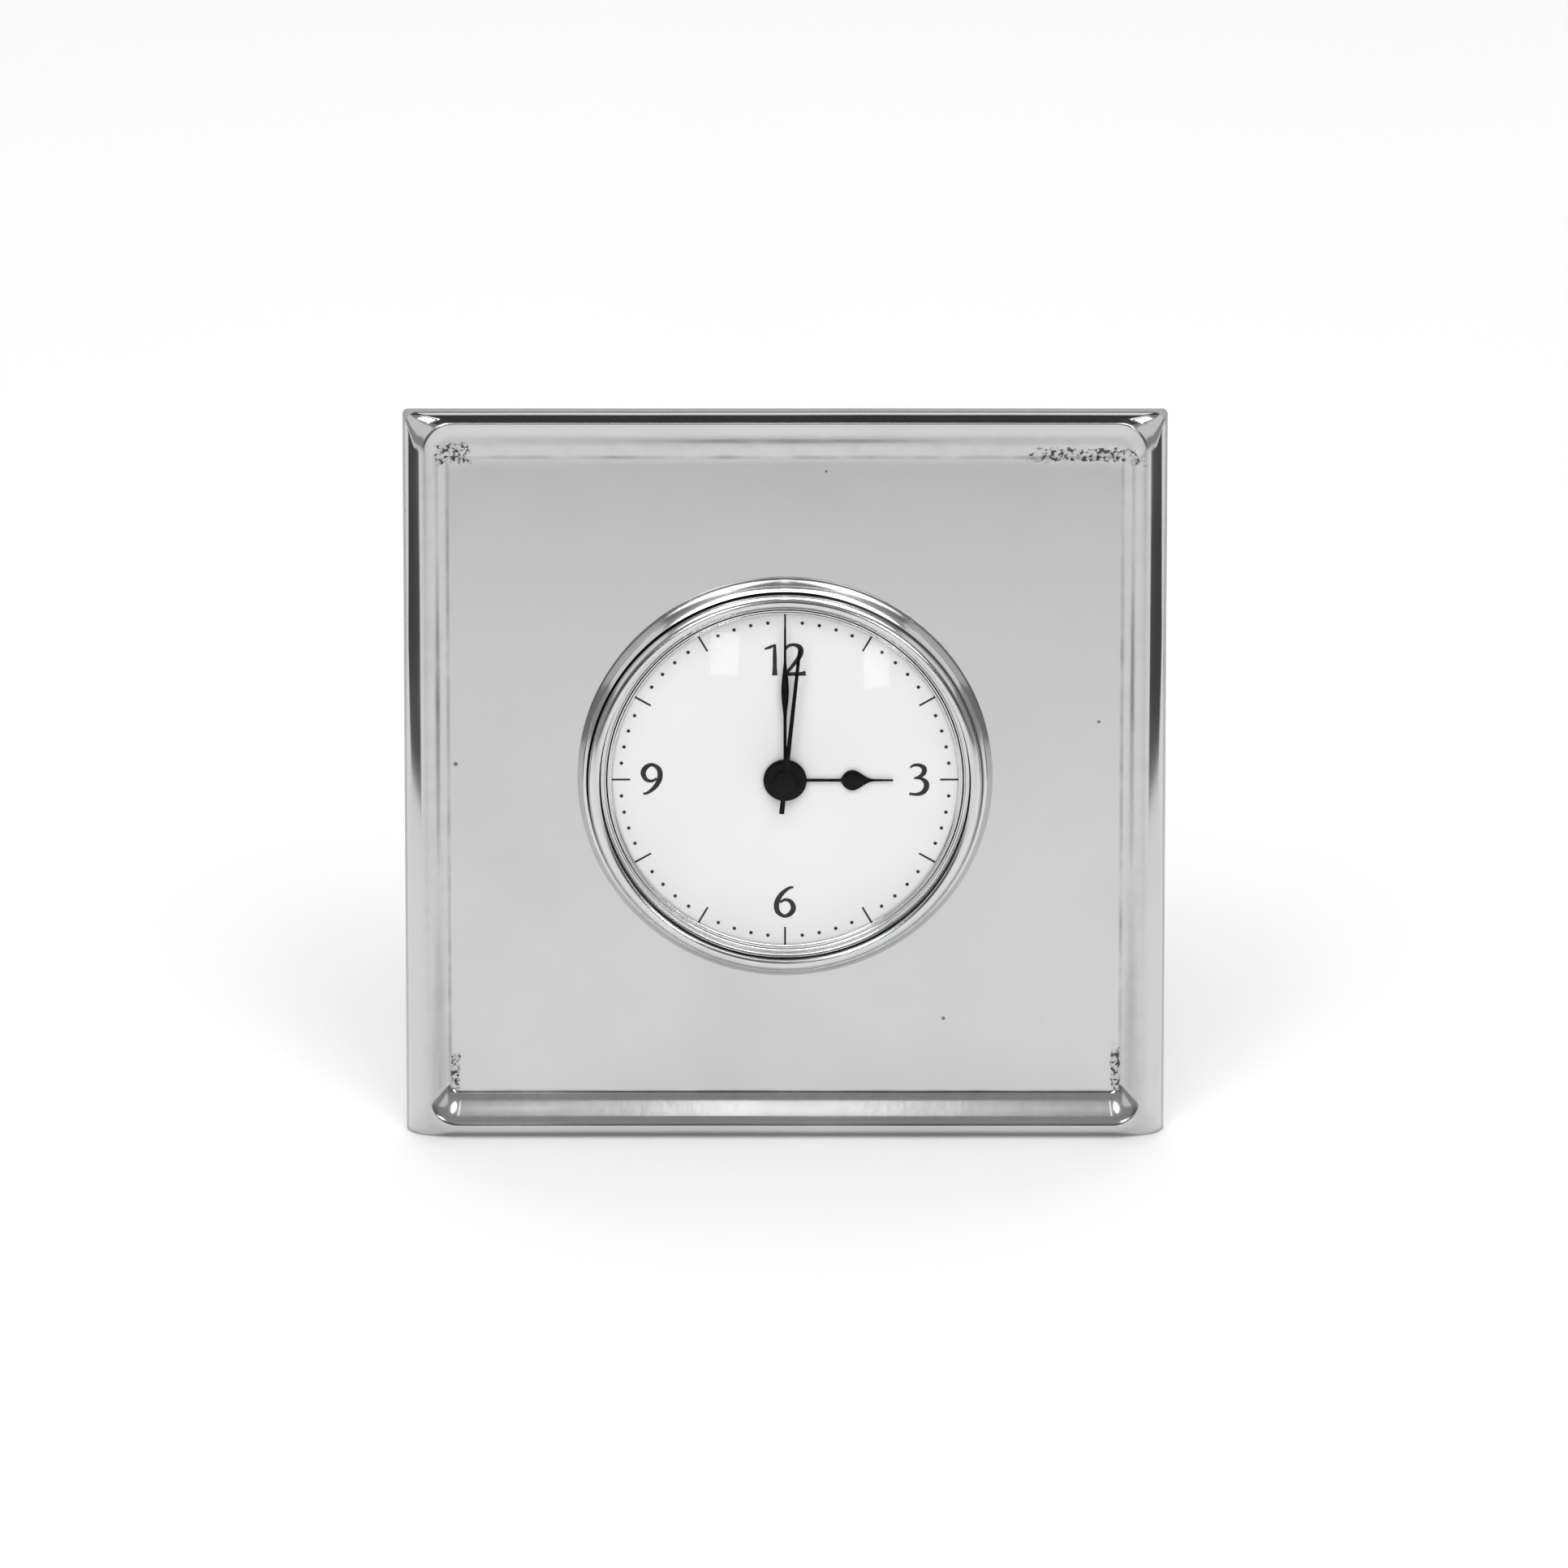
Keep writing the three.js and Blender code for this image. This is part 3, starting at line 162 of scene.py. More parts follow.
def rounded(corners, steps, share):
    """A profile with each inner corner replaced by a short curve: a quadratic Bezier per corner."""
    corners = [np.asarray(c, float) for c in corners]
    t = np.linspace(0, 1, steps + 1)[:, None]
    out = [corners[0][None]]
    for before, corner, after in zip(corners[:-2], corners[1:-1], corners[2:]):
        reach = share * min(np.linalg.norm(before - corner), np.linalg.norm(after - corner))
        start = corner + reach * (before - corner) / np.linalg.norm(before - corner)
        end = corner + reach * (after - corner) / np.linalg.norm(after - corner)
        out.append((1 - t) ** 2 * start + 2 * t * (1 - t) * corner + t ** 2 * end)
    out.append(corners[-1][None])
    return np.concatenate(out)


def ring_profile(inner, outer, low, high, start, steps, share):
    """The eased section of a flat ring, from a start on its inner wall round to that wall again."""
    corners = [(inner, start), (inner, low), (outer, low), (outer, high), (inner, high), (inner, start)]
    return rounded(corners, steps, share)[:-1]


print("a 3 by 4 grid has", len(grid_faces(3, 4, False)), "quads")

# %% [markdown]
# Shader maths is written as plain expressions. A Value wraps a socket, and each operator
# adds its Math nodes, so that 1 - mask reads as it would on paper.

# %% Shader helper
class Value:
    """A shader socket that does arithmetic by adding Math nodes to its tree."""

    def __init__(self, tree, socket):
        self.tree, self.socket = tree, socket

    def maths(self, operation, *others, clamp=False):
        node = self.tree.nodes.new("ShaderNodeMath")
        node.operation, node.use_clamp = operation, clamp
        for slot, item in zip(node.inputs, (self, *others)):
            put(self.tree, slot, item)
        return Value(self.tree, node.outputs[0])

    def __add__(self, other):
        return self.maths("ADD", other)

    def __sub__(self, other):
        return self.maths("SUBTRACT", other)

    def __rsub__(self, other):
        return (self * -1.0).maths("ADD", other)

    def __mul__(self, other):
        return self.maths("MULTIPLY", other)

    def __truediv__(self, other):
        return self.maths("DIVIDE", other)

    def __gt__(self, other):
        return self.maths("GREATER_THAN", other)

    def __lt__(self, other):
        return self.maths("LESS_THAN", other)

    __radd__ = __add__
    __rmul__ = __mul__

    def size(self):
        """The value without its sign."""
        return self.maths("ABSOLUTE")

    def largest(self, other):
        return self.maths("MAXIMUM", other)

    def smallest(self, other):
        return self.maths("MINIMUM", other)

    def ramp(self, low, high):
        """0 up to a low value, 1 from a high one on, and a straight climb between them."""
        return ((self - low) * (1.0 / (high - low))).maths("ADD", 0.0, clamp=True)

    def also(self, out):
        """Another output of the same node."""
        return Value(self.tree, self.socket.node.outputs[out])

    def band(self, low, high, soft):
        """1 between two values and 0 outside them, with soft edges."""
        return self.ramp(low, low + soft) * (1.0 - self.ramp(high - soft, high))


def put(tree, socket, item):
    """Links a Value into a socket, or sets the socket to a plain number or colour."""
    if isinstance(item, Value):
        tree.links.new(item.socket, socket)
    else:
        socket.default_value = item


class Finish:
    """A material or a world under construction: node() adds a node, and surface() ends it."""

    def __init__(self, name, kind="materials", output="ShaderNodeOutputMaterial"):
        self.owner = getattr(bpy.data, kind).new(name)
        self.owner.use_nodes = True
        self.tree = self.owner.node_tree
        self.tree.nodes.clear()
        self.output = output

    def node(self, kind, settings=None, numbered=None, out=0, **named):
        """One node: its settings first, then what goes into its sockets, by number or by name."""
        node = self.tree.nodes.new(kind)
        for key, value in (settings or {}).items():
            setattr(node, key, value)
        for number, item in (numbered or {}).items():
            put(self.tree, node.inputs[number], item)
        for key, item in named.items():
            put(self.tree, node.inputs[key.replace("_", " ")], item)
        return Value(self.tree, node.outputs[out]) if node.outputs else None

    def place(self):
        """Object coordinates: the shared frame, in metres."""
        return self.node("ShaderNodeTexCoord", out="Object")

    def face_place(self):
        """The face's own coordinates in millimetres, as three Values."""
        moved = self.node(
            "ShaderNodeVectorMath", {"operation": "SUBTRACT"}, {0: self.place(), 1: tuple(CENTRE)})
        return [self.node("ShaderNodeVectorMath", {"operation": "DOT_PRODUCT"},
                          {0: moved, 1: tuple(axis / MM)}, "Value") for axis in FACE_AXES]

    def vector(self, x, y, z):
        return self.node("ShaderNodeCombineXYZ", X=x, Y=y, Z=z)

    def here(self):
        """The face's own coordinates in millimetres, as one vector."""
        return self.vector(*self.face_place())

    def noise(self, vector, scale, detail, rough):
        return self.node("ShaderNodeTexNoise", Vector=vector, Scale=scale, Detail=detail, Roughness=rough)

    def blend(self, factor, low, high):
        """A colour between two colours by a factor."""
        return self.node("ShaderNodeMix", {"data_type": "RGBA"}, {0: factor, 6: low, 7: high}, 2)

    def bump(self, height, strength, distance, normal=None):
        """A normal from a height, where 1 is a distance in metres, on top of a normal if one is given."""
        under = {} if normal is None else {"Normal": normal}
        return self.node("ShaderNodeBump", Height=height, Strength=strength, Distance=distance, **under)

    def principled(self, **inputs):
        return self.node("ShaderNodeBsdfPrincipled", **inputs)

    def surface(self, shader):
        """Links the shader to the output and gives back the finished material or world."""
        self.node(self.output, Surface=shader)
        return self.owner


def rgb(*levels):
    """An RGBA colour from screen levels of 0 to 255, made linear."""
    screen = np.array(levels) / 255.0
    linear = np.where(screen <= 0.04045, screen / 12.92, ((screen + 0.055) / 1.055) ** 2.4)
    return (*linear.tolist(), 1.0)


print("screen grey 188 is", round(rgb(188)[0], 3), "of full light")

# %% [markdown]
# The casting is aluminium, poured in sand and polished by hand. The face is nearly a mirror,
# a little cloudy, with grain left in the inner corners that the wheel can't reach. The pits there and
# the crease round the field carry painted shade. The back keeps its sand-cast skin, so the finish
# changes with depth behind the rim.

# %% Polished cast aluminium
# How far the flat field reaches from the middle, in millimetres.
CREASE = {"side": 56.0, "top": 55.45, "foot": 55.2}
# Pitted places on the face: middle (x, y) and half sizes, in millimetres.
PITTED = [(-55.2, 56.3, 2.9, 1.9), (49.5, 55.9, 8.5, 1.3), (-55.2, -51.8, 0.8, 3.2), (55.2, -51.2, 0.8, 3.8)]
FAR_AWAY = 9.0


def cast_aluminium():
    f = Finish("polished_cast_aluminium")
    x, y, z = f.face_place()
    here = f.vector(x, y, z)
    clouds = f.noise(here, 0.03, 3.0, 0.5)
    fine = f.noise(here, 0.8, 4.0, 0.6)
    grain = f.noise(here, 2.3, 3.0, 0.7)
    beyond = (x.size() - CREASE["side"]).largest(y - CREASE["top"]).largest(y * -1.0 - CREASE["foot"])
    in_front = z.ramp(-0.9, -0.4)
    nearest = FAR_AWAY
    for across, up, half_across, half_up in PITTED:
        away = ((x - across).size() / half_across).largest((y - up).size() / half_up)
        nearest = away.smallest(nearest)
    in_corner = (1.0 - (nearest + (fine - 0.5) * 1.6).ramp(0.5, 1.1)) * in_front
    # Painted shade: the casting's pits in the inner corners are coloured near black.
    painted_pit_shade = f.noise(here, 1.3, 4.0, 0.65).ramp(0.5, 0.54) * in_corner.ramp(0.2, 0.5)
    on_slope = beyond.ramp(0.0, 0.8) * (1.0 - beyond.ramp(3.8, 5.0))
    # Painted shade: a patchy darker line along the crease where the field meets the border.
    crease = beyond.band(-0.4, 0.5, 0.35) * (0.1 + f.noise(here, 0.15, 3.0, 0.6).ramp(0.35, 0.7) * 0.5)
    smudge = f.noise(here, 0.3, 3.0, 0.6).ramp(0.45, 0.7)
    back = (-1.0 * z).ramp(0.9, 1.4)
    sand = f.noise(here, 1.1, 6.0, 0.7)
    tone = f.blend(clouds.ramp(0.35, 0.65), rgb(198, 197, 198), rgb(205, 204, 205))
    tone = f.blend(on_slope * (0.3 + smudge * 0.5), tone, rgb(188, 187, 185))
    # The crease's painted shade goes into the face's tone here.
    tone = f.blend(crease * in_front, tone, rgb(120, 118, 116))
    cell = f.node("ShaderNodeTexVoronoi", Vector=here, Scale=0.11)
    chance = f.node("ShaderNodeSeparateColor", Color=cell.also("Color"))
    speck = (cell < 0.03 + grain * 0.02) * (chance > 0.66)
    # The pits' painted shade and random dark specks darken the tone here.
    tone = f.blend((painted_pit_shade * 0.9).largest(speck * 0.7), tone, rgb(36, 34, 33))
    tone = f.blend(back, tone, rgb(190, 190, 191))
    roughness = (0.10 + clouds.ramp(0.4, 0.7) * 0.05 + on_slope * 0.03 + in_corner * 0.2
                 + back * (0.28 + sand * 0.2))
    soft = f.bump(clouds, 0.06, 0.0004)
    worn = f.bump(grain * in_corner * 0.5 + fine * (0.02 + on_slope * 0.02), 0.6, 0.0002, soft)
    rough_back = f.bump(sand * back, 0.6, 0.00035, worn)
    return f.surface(f.principled(
        Base_Color=tone, Metallic=1.0, Roughness=roughness, Normal=rough_back))


ALUMINIUM = cast_aluminium()
print(ALUMINIUM.name, "has", len(ALUMINIUM.node_tree.nodes), "nodes")

# %% [markdown]
# The tray is one closed surface of two parameters: around the square, and across its section
# from the bore over the field, up the S-shaped border, over the lip and round the back. A ring
# of a rounded square is (half - radius) * C + radius * D, where C runs along the sides and D
# turns at the corners, so every ring is made at once. The border isn't equally wide all round:
# its crease, crest and edge are given for the sides, the top and the foot.

# %% Casting
FACE_HALF = 63.5
SIDE_STEPS = 56
TURN_STEPS = 10


def square_frame():
    """C and D for a rounded square: C is on a square of half width 1, D is the outward normal there."""
    sides, normals = [], []
    signs = np.array([[1, 1], [-1, 1], [-1, -1], [1, -1]], float)
    t = np.linspace(0, 1, TURN_STEPS + 1)
    w = np.linspace(0, 1, SIDE_STEPS + 2)[1:-1, None]
    w = 0.5 - 0.5 * np.cos(np.pi * w)
    for k in range(4):
        angle = (k + t) * np.pi / 2
        sides.append(np.repeat(signs[k][None], len(t), axis=0))
        normals.append(round_about((0, 0), 1, angle))
        sides.append((1 - w) * signs[k] + w * signs[(k + 1) % 4])
        normals.append(np.repeat(normals[-1][-1:], SIDE_STEPS, axis=0))
    return np.concatenate(sides), np.concatenate(normals)


BORE = 31.2
BORE_LEVELS = (-3.4, -1.7)
CASTING_BACK = -5.0
FOOT_FRONT = 2.82
WAVER = 0.25
FIELD_STEPS, BACK_STEPS = 24, 10
CREST = {"side": 59.8, "top": 62.1, "foot": 60.8}
EDGE = {"side": FACE_HALF, "top": 63.15, "foot": FACE_HALF}
SLOPE_STOPS, LIP_STOPS = [0, 0.3, 0.7, 1], [0, 0.22, 0.71, 1]
SLOPE_REACH = {"side": SLOPE_STOPS, "top": [0, 0.34, 0.66, 1], "foot": SLOPE_STOPS}
LIP_REACH = {"side": LIP_STOPS, "top": [0, 0.16, 0.74, 1], "foot": [0, 0.34, 0.86, 1]}
STEEPEST = 44.0


def climb(share, tilt, width):
    """Heights over a width whose tilt in degrees is given at shares of it: the running sum of tan(tilt)."""
    tilt = np.radians(tilt)
    rise = np.tan(0.5 * (tilt[1:] + tilt[:-1])) * np.diff(share) * width
    return np.concatenate([[0], np.cumsum(rise)])


SLOPE_SHARE, LIP_SHARE = np.linspace(0, 1, 34), np.linspace(0, 1, 24)
SLOPE_TILT = STEEPEST * np.sin(np.pi * SLOPE_SHARE) ** 0.75
SLOPE_UP = climb(SLOPE_SHARE, SLOPE_TILT, CREST["side"] - CREASE["side"])
LIP_TILT = np.interp(LIP_SHARE, [0, 0.22, 0.71, 0.78, 1], [2, 42, 48, 60, 80])
LIP_DROP = climb(LIP_SHARE, LIP_TILT, EDGE["side"] - CREST["side"])
RIM_HEIGHT = SLOPE_UP[-1]
EDGE_BACK = RIM_HEIGHT - LIP_DROP[-1]


def casting_rings():
    """The section from the crease out and back: reach at the sides, top and foot, corner radius, height."""
    back_in = np.array([0.0, 0.15, 0.6, 0.95, 5.5, 5.9, 6.4, 6.9, 7.5])
    edge_up = EDGE_BACK - np.array([0.3, 0.65, 0.95, 1.1])
    back_up = np.concatenate([edge_up, [-4.52, -4.76, -4.93, CASTING_BACK, CASTING_BACK]])
    reach = []
    for side in ("side", "top", "foot"):
        up_slope = np.interp(SLOPE_SHARE, SLOPE_STOPS, SLOPE_REACH[side])
        over_lip = np.interp(LIP_SHARE, LIP_STOPS, LIP_REACH[side])
        slope = CREASE[side] + (CREST[side] - CREASE[side]) * up_slope
        lip = CREST[side] + (EDGE[side] - CREST[side]) * over_lip
        reach.append(np.concatenate([slope, lip[1:], EDGE[side] - back_in]))
    lip_turn = np.interp(LIP_SHARE, [0, 0.45, 1], [5.0, 5.4, 1.0])
    turn = np.concatenate([2.0 + 3.0 * SLOPE_SHARE, lip_turn[1:], np.full(len(back_in), 1.0)])
    up = np.concatenate([SLOPE_UP, RIM_HEIGHT - LIP_DROP[1:], back_up])
    return (*reach, turn, up)


def build_casting():
    """Rings of rounded squares that turn into the bore's circle over the field and the back."""
    corner, normal = square_frame()
    side, top, foot, turn, up = casting_rings()
    half = np.stack([side, (top + foot) / 2], axis=-1) - turn[:, None]
    square = half[:, None] * corner + turn[:, None, None] * normal
    square[..., 1] += (top - foot)[:, None] / 2
    along = np.arctan2(corner[:, 1] + 1e-9, corner[:, 0])
    wave = 0.16 * np.sin(3 * along + 0.6) + 0.10 * np.sin(7 * along + 2.0) + 0.05 * np.sin(17 * along)
    strength = np.interp(up, [CASTING_BACK, 0.0, RIM_HEIGHT], [0.2, 1.0, 0.5])
    square = square - (0.5 + 0.5 * wave)[None, :, None] * strength[:, None, None] * normal[None] * WAVER
    rings = at_height(square, up[:, None, None])
    first, last = rings[0], rings[-1]
    angle = np.arctan2(first[:, 1], first[:, 0])
    circle = round_about((0, 0), BORE, angle)
    t = np.linspace(0, 1, FIELD_STEPS)[:-1, None, None]
    field = at_height((1 - t) * circle + t * first[None, :, :2], 0.0)
    t = np.linspace(0, 1, BACK_STEPS)[1:, None, None]
    back = at_height((1 - t) * last[None, :, :2] + t * circle, CASTING_BACK)
    wall = np.stack([at_height(circle, z) for z in BORE_LEVELS])
    points = np.concatenate([field, rings, back, wall])
    lean = math.atan2(FACE_Y[1], FACE_Y[2])
    table = -(FACE_HALF + (points[..., 2] - FOOT_FRONT) * math.tan(lean))
    points[..., 1] = np.maximum(points[..., 1], table)
    faces = grid_faces(*points.shape[:2], True)[:, ::-1]
    piece = mesh_piece("casting", points.reshape(-1, 3), faces, "stand", ALUMINIUM)
    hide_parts("front_casting")
    return piece


casting = build_casting()
print("casting", len(casting.data.polygons), "faces")

# %% [markdown]
# The insert's bezel is a thin spun ring, plated bright. Faint smears and fine turning marks keep
# it from looking like a perfect mirror. The shade in the seam over the flange and in two gaps on the
# ring under the lens is painted dark, fading towards the foot, and the seam a little to the right.

# %% Bright plating
def bright_plating():
    f = Finish("bright_plating")
    x, y, z = f.face_place()
    radius = (x * x + y * y).maths("SQRT")
    turning = f.noise(f.vector(radius * 6.0, z * 6.0, 0.0), 1.0, 2.0, 0.5)
    smear = f.noise(f.vector(x, y, z), 0.12, 3.0, 0.5)
    # Painted shade in the seam's groove over the flange: near black, fading towards the foot and the right.
    painted_seam_shade = radius.band(32.7, 33.14, 0.05) * z.ramp(2.85, 2.95) * (0.15 + y.ramp(-18.0, -2.0) * 0.85)
    painted_seam_shade = painted_seam_shade * (1.0 - x.ramp(5.0, 30.0) * 0.35)
    under_lens = 1.0 - z.ramp(2.5, 2.7)
    # Painted shade in the gaps at the lens's edge and the inner ring's step: near black, fading to the foot.
    painted_gap_shade = radius.band(30.66, 30.98, 0.05).largest(radius.band(29.54, 29.84, 0.05)) * under_lens
    painted_gap_shade = painted_gap_shade * (0.04 + y.ramp(-26.0, -4.0) * 0.96)
    tone = f.blend(smear.ramp(0.4, 0.7), rgb(206, 207, 208), rgb(214, 214, 215))
    tone = f.blend(painted_seam_shade.largest(painted_gap_shade), tone, rgb(14, 14, 15))
    return f.surface(f.principled(
        Base_Color=tone, Metallic=1.0, Roughness=0.12 + smear.ramp(0.45, 0.75) * 0.06 + painted_seam_shade * 0.3,
        Normal=f.bump(turning, 0.05, 0.00005)))


PLATING = bright_plating()
print(PLATING.name, "has", len(PLATING.node_tree.nodes), "nodes")

# %% [markdown]
# The bezel's section starts at the wall in the bore, goes out under the flange that lies on the
# field, climbs the flange to a fine seam, and ends over the front ring in the lip that holds the
# lens. The inner ring is a low stepped band between the lens and the dial.

# %% Bezel and inner ring
BEZEL_CORNERS = [
    (31.3, 2.0), (31.3, 0.3), (34.1, 0.3), (34.6, 0.42), (34.55, 0.95), (34.2, 1.75), (33.75, 2.5),
    (33.0, 3.1), (32.88, 3.05), (32.8, 3.4), (32.55, 3.85), (32.1, 4.2), (31.5, 4.3), (31.0, 4.22),
    (30.92, 4.1), (30.92, 3.75), (31.0, 3.68), (31.3, 3.68), (31.3, 2.0),
]
RING_STEPS = 256
bezel_profile = rounded(BEZEL_CORNERS, 5, 0.42)[:-1]
bezel = turned_piece("bezel_ring", bezel_profile, RING_STEPS, "stand", PLATING)
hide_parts("bezel")
RING_CORNERS = [
    (30.0, 1.9), (30.98, 1.9), (30.98, 2.22), (30.55, 2.22), (30.45, 2.12), (30.1, 2.12), (30.0, 2.2),
    (29.75, 2.2), (29.62, 2.08), (29.35, 2.06), (29.2, 2.12), (29.02, 2.1), (28.86, 1.98), (28.88, 1.9),
    (30.0, 1.9),
]
inner_profile = rounded(RING_CORNERS, 3, 0.35)[:-1]
inner_ring = turned_piece("dial_ring", inner_profile, RING_STEPS, "stand", PLATING)
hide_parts("inner_ring")
print("bezel", len(bezel.data.polygons), "faces, inner ring", len(inner_ring.data.polygons))

# %% [markdown]
# The lens is a clear domed disc. A Fresnel factor mixes plain see-through with a mirror, so the
# dial stays bright under it and the windows still show faintly on the dome.

# %% Lens
def clear_lens():
    f = Finish("clear_acrylic")
    haze = f.noise(f.here(), 0.05, 2.0, 0.5)
    polish = 0.004 + haze.ramp(0.4, 0.8) * 0.012
    mirror = f.principled(Base_Color=(1, 1, 1, 1), Metallic=1.0, Roughness=polish)
    clear = f.node("ShaderNodeBsdfTransparent", Color=(1, 1, 1, 1))
    inside = f.node("ShaderNodeNewGeometry", out="Backfacing")
    sheen = f.node("ShaderNodeFresnel", IOR=1.16) * (1.0 - inside)
    return f.surface(f.node("ShaderNodeMixShader", None, {0: sheen, 1: clear, 2: mirror}))


LENS_RADIUS, LENS_EDGE, LENS_THICK, LENS_RISE = 31.0, 2.5, 1.1, 3.2
DISC_STEPS = 192
reach = np.linspace(0, LENS_RADIUS, 24)
dome = LENS_EDGE + LENS_RISE * (1 - (reach / LENS_RADIUS) ** 2)
lens_under = np.stack([reach, dome], axis=-1)
lens_over = np.stack([reach, LENS_THICK + dome], axis=-1)
lens_profile = np.concatenate([lens_under, lens_over[::-1]])
lens = turned_piece(
    "domed_lens", lens_profile, DISC_STEPS, "stand", clear_lens(), closed=False)
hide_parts("lens")
print("lens rises", LENS_RISE, "mm over", 2 * LENS_RADIUS, "mm")

# %% [markdown]
# The dial is a white enamelled disc. Its print is separate black ink, a hair above it: twelve
# thin hour lines, dots for the minutes, and four numbers drawn with a swelling pen stroke.

# %% Dial
def dial_white():
    f = Finish("dial_white")
    here = f.here()
    tooth = f.noise(here, 3.0, 3.0, 0.6)
    shade = f.noise(here, 0.04, 2.0, 0.5)
    tone = f.blend(shade.ramp(0.3, 0.7), rgb(230, 230, 231), rgb(234, 234, 234))
    return f.surface(f.principled(
        Base_Color=tone, Roughness=0.55 + tooth * 0.1, Normal=f.bump(tooth, 0.04, 0.00003)))


def print_black():
    f = Finish("print_black")
    ink = f.noise(f.here(), 4.0, 3.0, 0.6)
    tone = f.blend(ink.ramp(0.35, 0.7), rgb(14, 14, 15), rgb(24, 24, 26))
    return f.surface(f.principled(Base_Color=tone, Roughness=0.45 + ink * 0.1))


INK = print_black()
DIAL_HOLE, DIAL_RADIUS, DIAL_BASE, DIAL_TOP = 3.0, 31.0, 1.1, 1.6
dial_profile = ring_profile(DIAL_HOLE, DIAL_RADIUS, DIAL_BASE, DIAL_TOP, 1.3, 2, 0.2)
dial = turned_piece("dial_disc", dial_profile, DISC_STEPS, "stand", dial_white())
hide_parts("dial")
print("dial", len(dial.data.polygons), "faces")

# %% [markdown]
# The print is laid down as thin slabs of ink. A line or a dot is a flat outline with a thickness.
# A digit is a pen stroke: a smooth path through a few knots, each with its own half width, so the
# stroke swells on its curves and thins at its ends.

# %% Print on the dial
PRINT_BASE, PRINT_TOP = DIAL_TOP + 0.004, DIAL_TOP + 0.03
STROKE_LIFT = 0.004


class Sheet:
    """Collects the points and faces of separate shells for one mesh."""

    def __init__(self):
        self.points, self.faces, self.count = [], [], 0

    def add(self, points, faces):
        self.points.append(points)
        self.faces += [[i + self.count for i in face] for face in faces]
        self.count += len(points)

    def slab(self, outline, low=PRINT_BASE, high=PRINT_TOP):
        """A flat outline and its copy above it: two caps and a wall between them."""
        n = len(outline)
        here = np.arange(n)
        there = (here + 1) % n
        wall = np.stack([here, there, n + there, n + here], axis=-1)
        caps = [here[::-1].tolist(), (n + here).tolist()]
        self.add(np.concatenate([at_height(outline, z) for z in (low, high)]), caps + wall.tolist())

    def ribbon(self, path, half, low, high):
        """A pen stroke: points to both sides of a path, by its half width along its normal."""
        path = np.asarray(path, float)
        run = np.gradient(path, axis=0)
        run /= np.linalg.norm(run, axis=1, keepdims=True)
        side = np.stack([-run[:, 1], run[:, 0]], axis=-1) * np.asarray(half, float)[:, None]
        n = len(path)
        edge = [path - side, path + side]
        points = np.concatenate([at_height(e, z) for z in (low, high) for e in edge])
        i = np.arange(n - 1)
        top = np.stack([2 * n + i, 2 * n + i + 1, 3 * n + i + 1, 3 * n + i], axis=-1)
        base = np.stack([i, n + i, n + i + 1, i + 1], axis=-1)
        right = np.stack([i, i + 1, 2 * n + i + 1, 2 * n + i], axis=-1)
        left = np.stack([n + i, 3 * n + i, 3 * n + i + 1, n + i + 1], axis=-1)
        ends = [[0, 2 * n, 3 * n, n], [n - 1, 2 * n - 1, 4 * n - 1, 3 * n - 1]]
        self.add(points, np.concatenate([top, base, right, left]).tolist() + ends)

    def hand(self, grid):
        """A strip of a hand: the quads round it, and a cap at each of its ends."""
        rows, columns = grid.shape[:2]
        first = list(range(columns))
        last = [(rows - 1) * columns + i for i in first]
        self.add(grid.reshape(-1, 3), grid_faces(rows, columns, False).tolist() + [first[::-1], last])


def clock_turn(points, degrees):
    """Points drawn towards twelve, turned clockwise by an angle."""
    a = math.radians(degrees)
    x, y = np.asarray(points, float).T
    return np.stack([x * math.cos(a) + y * math.sin(a), -x * math.sin(a) + y * math.cos(a)], axis=-1)


def spline(knots, steps=24):
    """A smooth path through knots: a Catmull-Rom curve, computed for all its spans at once."""
    k = np.asarray(knots, float)
    k = np.concatenate([2 * k[:1] - k[1:2], k, 2 * k[-1:] - k[-2:-1]])
    t = np.linspace(0, 1, steps, endpoint=False)[None, :, None]
    a, b, c, d = (k[i:len(k) - 3 + i, None] for i in range(4))
    square, cube = 2 * a - 5 * b + 4 * c - d, 3 * b - a - 3 * c + d
    curve = 0.5 * (2 * b + (c - a) * t + square * t ** 2 + cube * t ** 3)
    return np.concatenate([curve.reshape(-1, k.shape[1]), k[-2:-1]])


